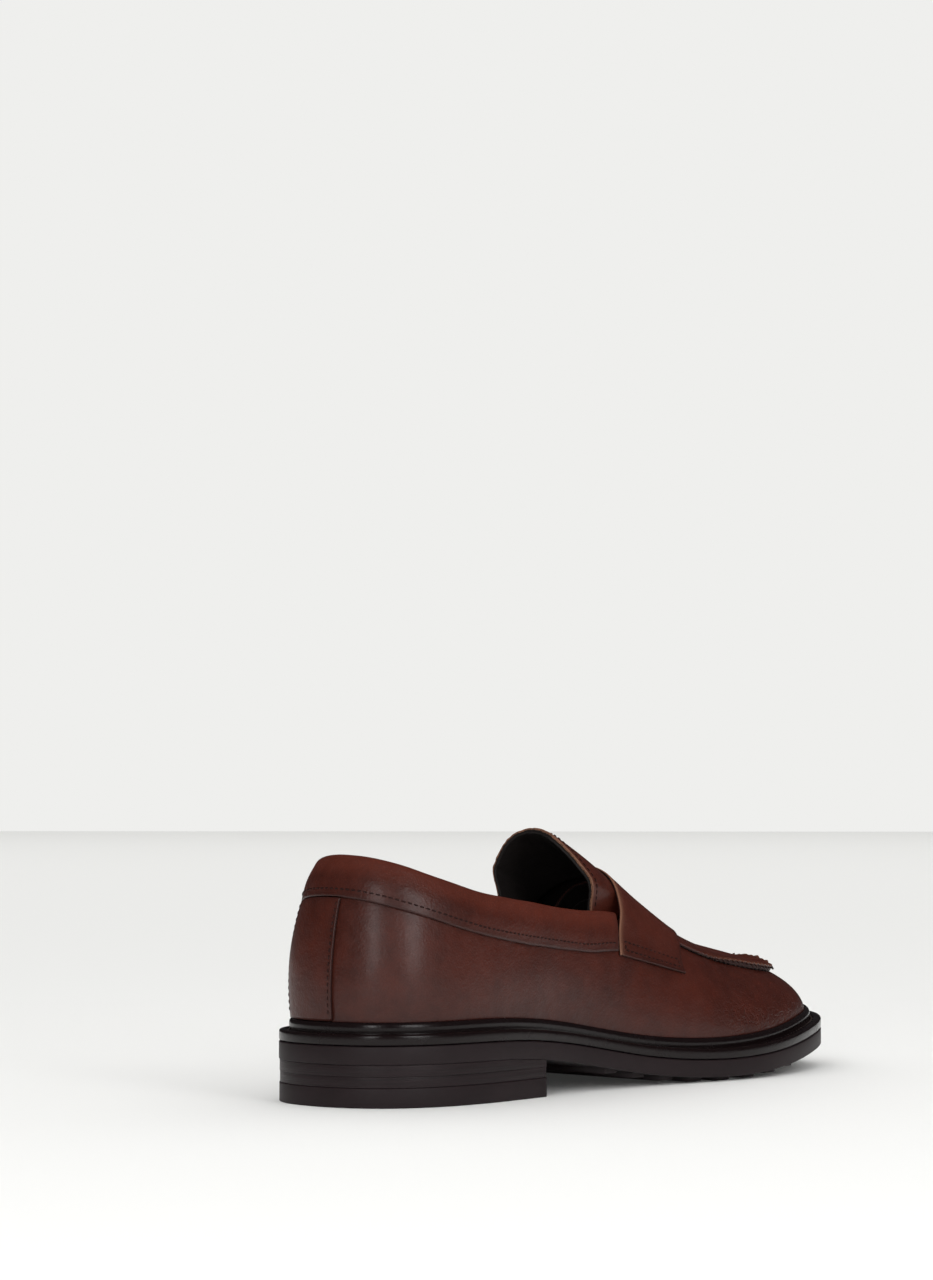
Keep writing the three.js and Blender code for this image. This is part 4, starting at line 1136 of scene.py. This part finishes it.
def collar_surface(last):
    """The folded band: a long outer leg, a rounded top and a short inner leg."""
    first, final = last.collar_span()
    u, gap_u, drop_u = lines(430, 450, OVERLAY_ROUNDING)
    t = mix(first, final, u)[:, None]
    shoulder, radius = collar_fold(last, t)
    leg, leg_gap, leg_drop = lines(18, 9.5, OVERLAY_ROUNDING, (True, False))
    bend = np.linspace(0, math.pi, 19)[1:-1]
    tail, tail_gap, tail_drop = lines(8, 6, OVERLAY_ROUNDING, (False, True))

    def side(sink):
        """Points of the band's section, sink millimetres inside its face."""
        place, w, out = collar_leg(last, t, leg[None])
        drop = np.maximum(drop_u[:, None], leg_drop[None])
        outer = last.layer(place, w, out - (drop if sink == 0 else sink - drop))
        joint = last.collar_place(t, shoulder)
        normal = last.normal(joint, shoulder)
        centre = last.skin(joint, shoulder) + normal * (OVERLAY_GAP + last.overlay - radius)[..., None]
        up = last.skin(last.collar_place(t, shoulder + 0.01), shoulder + 0.01) - last.skin(joint, shoulder)
        up = unit(up - normal * np.sum(up * normal, -1, keepdims=True))
        reach = (radius - (drop_u[:, None] if sink == 0 else sink - drop_u[:, None]))[..., None]
        aside = np.sign(np.cos(bend)) * np.abs(np.cos(bend)) ** FOLD_SQUARENESS
        rise = np.sin(bend) ** FOLD_SQUARENESS
        arc = centre + reach * (aside[None, :, None] * normal + rise[None, :, None] * up)
        low = last.level_at(t, last.topline(t) - last.collar_lining)
        w = mix(shoulder, low, tail[None])
        drop = np.maximum(drop_u[:, None], tail_drop[None])
        inner = last.collar_in(t) + (drop if sink == 0 else sink - drop)
        legs = last.layer(last.collar_place(t, w), w, inner)
        return np.concatenate([outer, arc, legs], axis=1)

    face = side(0)
    soften = last.undulation * 0.6 * waves(face, 21, 14, 45)
    face[..., 2] += soften
    back = side(last.overlay)
    back[..., 2] += soften
    count = len(leg) + len(bend) + len(tail)
    near = np.concatenate([leg_gap, np.full(len(bend), 1e3), tail_gap])
    # crown marks the band's rounded top for a painted sheen, fading towards the inner leg; partly rubbed
    # wear.
    crown = np.concatenate([ease(0.5, 1, leg), np.ones(len(bend)), 1 - tail])
    surface = Surface()
    burnish = np.exp(-np.minimum(near[None], gap_u[:, None]) / 1.1)
    crown = crown * np.linspace(1.0, 0.6, count)
    outer = surface.add(face, burnish=burnish, rub=crown[None] * 0.75, crease=0.15)
    inner = surface.add(back)
    surface.skin_over(outer, 0)
    surface.skin_over(inner, 1, flip=True)
    surface.close_edges(outer, inner)
    return surface


def strip_levels(last, t):
    foot = last.level_at(t, last.insole_bottom(last.edge_y(t)) + last.bead_height + 0.1)
    top = last.level_at(t, last.topline(t) - last.collar_depth - 0.25)
    return foot, top


def strip_surface(last):
    def place(u, v):
        t = mix(STRIP[0], STRIP[1], u)
        foot, top = strip_levels(last, t)
        return t, mix(foot, top, v)

    out = lambda f: CLOSE + last.overlay + soft(last, f, 3)
    rows = lines(46, 44, OVERLAY_ROUNDING)
    columns = lines(60, 45, OVERLAY_ROUNDING, (False, True))
    return sheet(last, rows, columns, place, out, last.overlay, lambda f: {"rub": 0.0})


def quarter_lining_surface(last):
    split = LINING_SPLIT - 0.5 * STATION
    first = float(last.across(np.array(split))) - 1
    below = last.collar_lining - 2.5 - last.collar_fold

    def place(u, v):
        t = mix(first, split, u)
        edge = last.skin(t, last.vamp_edge(t))[..., 2]
        return t, v * last.level_at(t, edge - below)

    out = lambda f: -last.lining_depth(f.t) + soft(last, f, 15, 0.3)
    rows = lines(240, 500, LINING_ROUNDING)
    columns = lines(36, 50, LINING_ROUNDING)
    return sheet(last, rows, columns, place, out, last.lining)


def vamp_lining_surface(last):
    place = arch_place(last, lambda u, rise: 0 * u, lambda u, w: mix(LINING_SPLIT, last.tip, u))
    out = lambda f: -last.lining_depth(f.t)
    rows = lines(90, 170, LINING_ROUNDING, (True, False))
    columns = lines(90, 190, LINING_ROUNDING)
    return sheet(last, rows, columns, place, out, last.lining)


# ---------------------------------------------------------------- under the foot
def sock_surface(last):
    margin = last.leather + OVERLAY_GAP + last.counter + GLUE_GAP + last.lining + 2.5
    front = last.breast - 5

    def foot(y):
        pad = last.heel_pad * (1 - ease(front - 25, front, y)) + 0.4
        return last.insole_top(y) + 3 * GLUE_GAP + pad

    inset = lambda y: last.inset(y) + margin
    return plate(last, rounded_profile(inset, lambda y: foot(y) + last.sock, foot, SOCK_ROUNDING))


def welt_surface(last):
    """A rim with a stitching groove, and a rolled bead that closes against the upper."""
    t = np.linspace(0, 1, 420, endpoint=False)
    y = last.edge_y(t)
    normal = last.edge_normal(t)
    inset = last.inset(y)

    def rim(inset_, rise):
        flat = last.outline(t, np.broadcast_to(inset_, t.shape))
        return np.c_[flat, last.welt_top(flat[:, 1]) + rise]

    def against(rise, outwards):
        """A point beside the upper, outwards from it by a distance, at a height over the rim."""
        w = last.level_at(t, last.welt_top(y) + max(rise, 0))
        p = last.layer(t, w, np.full(len(t), 0.1))
        p[:, :2] += normal * outwards
        p[:, 2] = last.welt_top(p[:, 1]) + rise
        return p

    bead = bead_inset(last, t)
    groove = bead - last.groove_width
    rows = [rim(0.5, -last.welt), rim(0.12, -last.welt + 0.15), rim(0, -last.welt + 0.5)]
    rows += [rim(0, -1.0), rim(0.1, -0.5), rim(0.4, -0.15), rim(0.9, 0.0)]
    rows += [rim(groove - 0.6, 0.05), rim(groove - 0.15, -0.05), rim(groove, -0.35)]
    rows += [rim(groove + 0.1, -last.groove_depth), rim(bead - 0.1, -last.groove_depth)]
    for angle in np.linspace(-0.25, 0.5, 11) * math.pi:
        rise = mix(1.6, last.bead_height, max(math.sin(angle), 0)) + min(math.sin(angle), 0) * 2.2
        wide = last.bead_width * 1.1
        width = last.bead_width * (0.25 + 0.85 * math.cos(angle)) if angle > 0 else wide
        rows.append(against(rise, min(width, wide)))
    rows += [against(last.bead_height - 0.25, 0.02), against(1.5, 0.0)]
    reach = inset + last.welt_reach
    rows += [rim(inset - 0.1, 0.0), rim(reach, 0), rim(reach, -last.welt)]
    surface = Surface()
    index = surface.add(np.stack(rows))
    surface.skin_over(np.concatenate([index, index[:1]]), 0, wrap=True)
    return surface


def bead_inset(last, t):
    """Distance from the sole's edge to the foot of the bead's outer face."""
    y = last.edge_y(t)
    top = last.layer(t, last.level_at(t, last.welt_top(y) + 1.0), np.full(np.shape(t), 0.1))
    inward = np.sum((last.edge(t) - top[..., :2]) * last.edge_normal(t), -1)
    return inward - last.bead_width * 1.1


def outsole_surface(last):
    """A slab with an even edge, and level bars across its underside at the ball."""
    profile = rounded_profile(even(0), last.outsole_top, last.sole_rise, OUTSOLE_ROUNDING)
    surface = plate(last, profile, count=220)
    half = last.lug_length / 2
    for i in BARS:
        middle = last.lowest_y + i * last.lug_pitch
        foot = float(last.sole_rise(middle)) - last.lug_height
        profile = rounded_profile(even(last.lug_inset), even(foot + BAR_ROOT), even(foot), BAR_ROUNDING)
        surface.absorb(plate(last, profile, middle - half, middle + half, count=8))
    return surface


def lift_surface(last, foot, top, inset, radius):
    return plate(last, rounded_profile(even(inset), top, even(foot), radius), stop=last.breast)


# ---------------------------------------------------------------- stitching
def row_on(last, t, w, out, pitch, closed=False, size=2.0):
    t, w = np.broadcast_arrays(np.asarray(t, float), np.asarray(w, float))
    points = last.layer(t, w, out)
    return stitches(points, last.normal(t, w), pitch, size, last.thread, last.thread * 0.18, closed)


def collar_stitches(last):
    first, final = last.collar_span()
    t = np.linspace(first, final, 500)[2:-2]
    place, w, out = collar_leg(last, t, np.full(t.shape, COLLAR_ROW))
    return row_on(last, place, w, out, last.stitch_pitch)


def strip_stitches(last, t):
    t = np.full(60, t)
    foot, top = strip_levels(last, t)
    w = mix(foot + 0.01, top - 0.008, np.linspace(0, 1, 60))
    return row_on(last, t, w, np.full(60, CLOSE + last.overlay), last.stitch_pitch)


def strap_stitches(last, inner_side):
    """A loop of stitches that holds one end of the strap down."""
    low, high = STRAP_ROW_LEVELS
    corners = ((0.08, low), (0.93, low), (0.93, high), (0.08, high), (0.08, low))
    k = np.concatenate([np.linspace(a[0], b[0], 20)[:-1] for a, b in zip(corners, corners[1:])])
    rise = np.concatenate([np.linspace(a[1], b[1], 20)[:-1] for a, b in zip(corners, corners[1:])])
    w = strap_end(k) + rise
    t = last.strap_place(k, w)
    t = last.across(t) if inner_side else t
    return row_on(last, t, w, strap_out(last, w) - 0.1, last.stitch_pitch, True)


def tongue_stitches(last):
    rise = np.linspace(TONGUE_LOW + 0.07, 1, 120)
    w = np.concatenate([rise, rise[-2::-1]])
    t = last.tongue_place(TONGUE_ROW, w, np.arange(len(w)) >= 120)
    t = np.concatenate([t[:120], last.across(t[120:])])
    return row_on(last, t, w, last.tongue_out(t, w), last.stitch_pitch)


def plug_stitches(last):
    """Hand-sewn threads that cross the plug's seam, one in each gather."""
    outer = np.linspace(27 * STATION, last.tip, 700)
    t = np.concatenate([outer, last.across(outer[-2::-1])])
    w = last.plug_seam(t) + 0.004
    base = last.layer(t, w, plug_out(last, t, w) - last.leather * 0.5)
    run = path_length(base, 0)
    at = (np.arange(int(run[-1] / GATHER_PITCH)) + 0.5) * GATHER_PITCH
    centre, line, up = resample(base, last.normal(t, w), run, at)
    return capsules(centre, unit(np.cross(up, line)), up, 3.2, last.thread * 1.1)


def welt_stitches(last):
    t = np.linspace(0, 1, 900, endpoint=False)
    inset = bead_inset(last, t) - last.groove_width / 2
    flat = last.outline(t, inset)
    points = np.c_[flat, last.welt_top(flat[:, 1]) - last.groove_depth + 0.35]
    up = np.tile((0.0, 0.0, 1.0), (len(t), 1))
    return stitches(points, up, last.welt_pitch, 2.7, 0.9, 0.12, True)


# ---------------------------------------------------------------- assembly
BLACK = ("lining_leather",) * 3  # face, back and cut edge
UPPER = ("calf_leather", "lining_leather", "cut_edge")
TONGUE_SKIN = ("calf_leather", "lining_leather", "raw_edge")
CARRIED = {
    "insole": "fibre_board",
    "heel_counter": "fibre_board",
    "toe_puff": "fibre_board",
    "shank": "steel",
    "cork_filler": "cork",
    "collar_foam": "foam",
    "heel_pad": "foam",
    "heel_nail_1": "steel",
    "heel_nail_2": "steel",
    "heel_nail_3": "steel",
    "heel_nail_4": "steel",
    "heel_nail_5": "steel",
}


def put(surface, name, skins, colours, weld=0.0, nodes=None, body="shoe"):
    """Builds a piece that stands for CAD nodes. It moves with its body, unless the caller gives it none."""
    piece = surface.build(name, [material(skin, colours) for skin in skins], weld)
    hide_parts(*(nodes or (name.removesuffix("_skin"),)))
    if body:
        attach(piece, body)
    return piece


def sew(surface, name, colours, body="shoe"):
    """Puts in a row of stitches of the upper."""
    return put(surface, name + "_skin", ("upper_thread",), colours, body=body)


class PieceOperator:
    """Shared by the operators that build a piece: reads the settings and calls build()."""

    bl_options = {"REGISTER", "UNDO"}

    def execute(self, context):
        scene = context.scene
        self.build(Last(scene.loafer_sizes), scene.loafer_colours)
        return {"FINISHED"}


class LOAFER_OT_vamp(PieceOperator, bpy.types.Operator):
    """Build the one-piece wall of the upper"""

    bl_idname = "loafer.vamp"
    bl_label = "Vamp"

    def build(self, last, colours):
        put(vamp_surface(last), "vamp_skin", UPPER, colours)


class LOAFER_OT_plug(PieceOperator, bpy.types.Operator):
    """Build the apron over the toes and the threads of its seam"""

    bl_idname = "loafer.plug"
    bl_label = "Plug"

    def build(self, last, colours):
        put(plug_surface(last), "plug_skin", UPPER, colours, WELD)
        sew(plug_stitches(last), "plug_stitching", colours)


class LOAFER_OT_strap(PieceOperator, bpy.types.Operator):
    """Build the slotted saddle strap and the stitches at its ends"""

    bl_idname = "loafer.strap"
    bl_label = "Strap"

    def build(self, last, colours):
        strap = put(strap_surface(last), "penny_strap_skin", UPPER, colours)
        cut_slot(last, strap)
        for name, inner in (("strap_stitching_outer", False), ("strap_stitching_inner", True)):
            sew(strap_stitches(last, inner), name, colours)


class LOAFER_OT_tongue(PieceOperator, bpy.types.Operator):
    """Build the tongue, its lining and its stitches"""

    bl_idname = "loafer.tongue"
    bl_label = "Tongue"

    def build(self, last, colours):
        under = last.overlay + TONGUE_LINING_GAP
        leather = tongue_surface(last, 0, last.overlay, tongue_marks)
        lining = tongue_surface(last, under, last.lining, None)
        pieces = [
            put(leather, "tongue_skin", TONGUE_SKIN, colours, body=None),
            put(lining, "tongue_lining_skin", BLACK, colours, body=None),
            sew(tongue_stitches(last), "tongue_stitching", colours, body=None),
        ]
        for piece in pieces:
            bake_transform(piece)


class LOAFER_OT_collar(PieceOperator, bpy.types.Operator):
    """Build the padded band round the opening and its row of stitches"""

    bl_idname = "loafer.collar"
    bl_label = "Collar"

    def build(self, last, colours):
        band = put(collar_surface(last), "collar_skin", UPPER, colours)
        sew(collar_stitches(last), "collar_stitching", colours)


class LOAFER_OT_heel_strip(PieceOperator, bpy.types.Operator):
    """Build the strip over the back seam and its two rows of stitches"""

    bl_idname = "loafer.heel_strip"
    bl_label = "Heel strip"

    def build(self, last, colours):
        put(strip_surface(last), "heel_strip_skin", UPPER, colours)
        rows = (("outer", STRIP[1] - 0.2 * STATION), ("inner", STRIP[0] + 0.2 * STATION))
        for side, t in rows:
            sew(strip_stitches(last, t), "heel_strip_stitching_" + side, colours)


class LOAFER_OT_linings(PieceOperator, bpy.types.Operator):
    """Build the black linings and the sock"""

    bl_idname = "loafer.linings"
    bl_label = "Linings"

    def build(self, last, colours):
        put(quarter_lining_surface(last), "quarter_lining_skin", BLACK, colours)
        put(vamp_lining_surface(last), "vamp_lining_skin", BLACK, colours, WELD)
        put(sock_surface(last), "sock_skin", BLACK, colours, WELD)


class LOAFER_OT_welt(PieceOperator, bpy.types.Operator):
    """Build the storm welt and the stitches in its groove"""

    bl_idname = "loafer.welt"
    bl_label = "Welt"

    def build(self, last, colours):
        put(welt_surface(last), "welt_skin", ("storm_welt",), colours)
        put(welt_stitches(last), "welt_stitching_skin", ("welt_thread",), colours)


class LOAFER_OT_outsole(PieceOperator, bpy.types.Operator):
    """Build the rubber outsole with its tread bars"""

    bl_idname = "loafer.outsole"
    bl_label = "Outsole"

    def build(self, last, colours):
        put(outsole_surface(last), "outsole_skin", ("sole_rubber",) * 2, colours, WELD)


class LOAFER_OT_heel(PieceOperator, bpy.types.Operator):
    """Build the two leather lifts and the rubber top lift of the heel"""

    bl_idname = "loafer.heel"
    bl_label = "Heel"

    def build(self, last, colours):
        each = (last.heel_seat - last.top_lift - 3 * GLUE_GAP) / 2
        lower = last.top_lift + 0.08
        upper = lower + each + GLUE_GAP
        seat = lambda y: last.sole_rise(y) - LIFT_GAP
        stack = ("heel_stack",) * 2
        rubber = ("sole_rubber",) * 2
        taper = last.heel_taper
        top = lift_surface(last, 0.0, even(last.top_lift), taper / 3, TOP_LIFT_ROUNDING)
        middle = lift_surface(last, lower, even(upper - LIFT_GAP), taper * 0.75, LIFT_ROUNDING)
        high = lift_surface(last, upper, seat, taper / 2, LIFT_ROUNDING)
        put(top, "top_lift_skin", rubber, colours, WELD)
        put(middle, "heel_lift_lower_skin", stack, colours, WELD)
        put(high, "heel_lift_upper_skin", stack, colours, WELD)


class LOAFER_OT_inside(bpy.types.Operator):
    """Give the hidden pieces of the frame their materials"""

    bl_idname = "loafer.inside"
    bl_label = "Hidden pieces"

    def execute(self, context):
        for name, skin in CARRIED.items():
            node = bpy.data.objects.get(name)
            if node is None:
                raise RuntimeError(name + " isn't in the frame")
            node.data.materials.clear()
            node.data.materials.append(material(skin, context.scene.loafer_colours))
        return {"FINISHED"}


# ---------------------------------------------------------------- stage
CAMERA_TARGET = (0.00125, 0.00055, 0.045)
CAMERA_TURN = 39.95  # degrees from straight behind the heel towards the outer side
CAMERA_RISE = 3.18
CAMERA_DISTANCE = 1.445
CAMERA_LENS = 99.4
TARGET_ASIDE = 0.02872  # how far the target lies right of and below the picture's middle, per unit of depth
TARGET_BELOW = 0.0931
# Each light has its place, the place it faces, its width, its height and its power.
CEILING = ((0, 0, 3.2), (0, 0, 0), 14, 14, 538)
SIDE_LIGHT = ((1.55, -0.35, 0.6), (0, -0.06, 0.05), 0.55, 0.9, 7)
HEEL_LIGHT = ((0.72, -1.45, 0.62), (0, -0.1, 0.05), 0.4, 0.9, 6)
FRONT_BACK, FRONT_RIGHT, FRONT_HEIGHT = 1.9, 1.3, 1.1  # the front light's place, seen from the shoe
FRONT_LIGHT = ((0, 0, 0.04), 0.9, 0.9, 1.2)
FLOOR_HALF = 9
FLOOR_GLOW = 0.03
BACKDROP_AWAY = 6
BACKDROP_HEIGHT = 8
WORLD_LIGHT = (0.03, 0.03, 0.032, 1)


def plain(name, code, glow):
    """Matt paper that partly lights itself, so it stays even from near to far."""
    made, tree = new_material(name)
    grain = noise(tree, place_in_mm(tree), 0.8, 2)
    body = tone(tree, calc(tree, "MULTIPLY", grain, 0.02), code, shade(code, 0.97))
    matt = add_node(tree, "ShaderNodeBsdfDiffuse", {"Color": body}).outputs[0]
    light = add_node(tree, "ShaderNodeEmission", {"Color": body, "Strength": 1.0}).outputs[0]
    both = add_node(tree, "ShaderNodeMixShader", {0: glow, 1: matt, 2: light}).outputs[0]
    add_node(tree, "ShaderNodeOutputMaterial", {"Surface": both})
    return made


def quad(name, corners, skin):
    mesh = bpy.data.meshes.new(name)
    mesh.from_pydata(corners, [], [(0, 1, 2, 3)])
    mesh.materials.append(skin)
    piece = bpy.data.objects.new(name, mesh)
    bpy.context.scene.collection.objects.link(piece)
    return piece


def softbox(name, place, aim, width, height, power):
    """A rectangular studio light."""
    data = bpy.data.lights.new(name, "AREA")
    data.shape = "RECTANGLE"
    data.size = width
    data.size_y = height
    data.energy = power
    lamp = bpy.data.objects.new(name, data)
    lamp.location = place
    lamp.rotation_euler = (Vector(aim) - Vector(place)).to_track_quat("-Z", "Y").to_euler()
    bpy.context.scene.collection.objects.link(lamp)
    return lamp


def add_camera():
    turn, rise = math.radians(CAMERA_TURN), math.radians(CAMERA_RISE)
    back = Vector((math.sin(turn) * math.cos(rise), -math.cos(turn) * math.cos(rise), math.sin(rise)))
    right = Vector((math.cos(turn), math.sin(turn), 0))
    up = back.cross(right)
    middle = -back - right * TARGET_ASIDE + up * TARGET_BELOW
    data = bpy.data.cameras.new("camera")
    data.lens = CAMERA_LENS
    data.clip_start = 0.05
    data.clip_end = 60
    camera = bpy.data.objects.new("camera", data)
    camera.location = Vector(CAMERA_TARGET) + back * CAMERA_DISTANCE
    camera.rotation_euler = middle.to_track_quat("-Z", "Y").to_euler()
    bpy.context.scene.collection.objects.link(camera)
    bpy.context.scene.camera = camera
    return back, right


class LOAFER_OT_stage(bpy.types.Operator):
    """Set up the pale floor, the backdrop, the lights and the camera"""

    bl_idname = "loafer.stage"
    bl_label = "Stage"

    def execute(self, context):
        scene = context.scene
        tint = scene.loafer_colours.floor
        back, right = add_camera()
        flat_back = Vector((back.x, back.y, 0)).normalized()
        half = FLOOR_HALF
        corners = [(-half, -half, 0), (half, -half, 0), (half, half, 0), (-half, half, 0)]
        quad("floor", corners, plain("floor_paper", tint, FLOOR_GLOW))
        far = -flat_back * BACKDROP_AWAY
        left = far - right * half
        other = far + right * half
        high = Vector((0, 0, BACKDROP_HEIGHT))
        corners = [left, other, other + high, left + high]
        backdrop = quad("backdrop", corners, plain("backdrop_paper", tint, 1.0))
        backdrop.visible_glossy = False
        ceiling = softbox("ceiling", *CEILING)
        ceiling.visible_glossy = False
        softbox("side", *SIDE_LIGHT)
        softbox("heel_light", *HEEL_LIGHT)
        front = flat_back * FRONT_BACK + right * FRONT_RIGHT + Vector((0, 0, FRONT_HEIGHT))
        softbox("front_fill", front, *FRONT_LIGHT)
        world = bpy.data.worlds.new("studio")
        world.use_nodes = True
        world.node_tree.nodes["Background"].inputs[0].default_value = WORLD_LIGHT
        scene.world = world
        scene.view_settings.view_transform = "Standard"
        return {"FINISHED"}


# ---------------------------------------------------------------- add-on
PIECES = (
    LOAFER_OT_vamp,
    LOAFER_OT_plug,
    LOAFER_OT_strap,
    LOAFER_OT_tongue,
    LOAFER_OT_collar,
    LOAFER_OT_heel_strip,
    LOAFER_OT_linings,
    LOAFER_OT_welt,
    LOAFER_OT_outsole,
    LOAFER_OT_heel,
    LOAFER_OT_inside,
    LOAFER_OT_stage,
)


class LOAFER_PT_panel(bpy.types.Panel):
    """The shoe's settings and the buttons that build it"""

    bl_label = "Penny loafer"
    bl_idname = "LOAFER_PT_panel"
    bl_space_type = "VIEW_3D"
    bl_region_type = "UI"
    bl_category = "Loafer"

    def draw(self, context):
        scene = context.scene
        for settings in (scene.loafer_sizes, scene.loafer_colours):
            box = self.layout.box()
            for key in settings.__annotations__:
                box.prop(settings, key)
        for piece in PIECES:
            self.layout.operator(piece.bl_idname)


CLASSES = (LoaferSizes, LoaferColours, *PIECES, LOAFER_PT_panel)


def register():
    for made in CLASSES:
        bpy.utils.register_class(made)
    bpy.types.Scene.loafer_sizes = PointerProperty(type=LoaferSizes)
    bpy.types.Scene.loafer_colours = PointerProperty(type=LoaferColours)


def unregister():
    del bpy.types.Scene.loafer_colours
    del bpy.types.Scene.loafer_sizes
    for made in reversed(CLASSES):
        bpy.utils.unregister_class(made)


def main():
    register()
    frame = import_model()
    for piece in PIECES:
        namespace, name = piece.bl_idname.split(".")
        getattr(getattr(bpy.ops, namespace), name)()
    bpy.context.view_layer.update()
    return frame


if __name__ == "__main__":
    main()
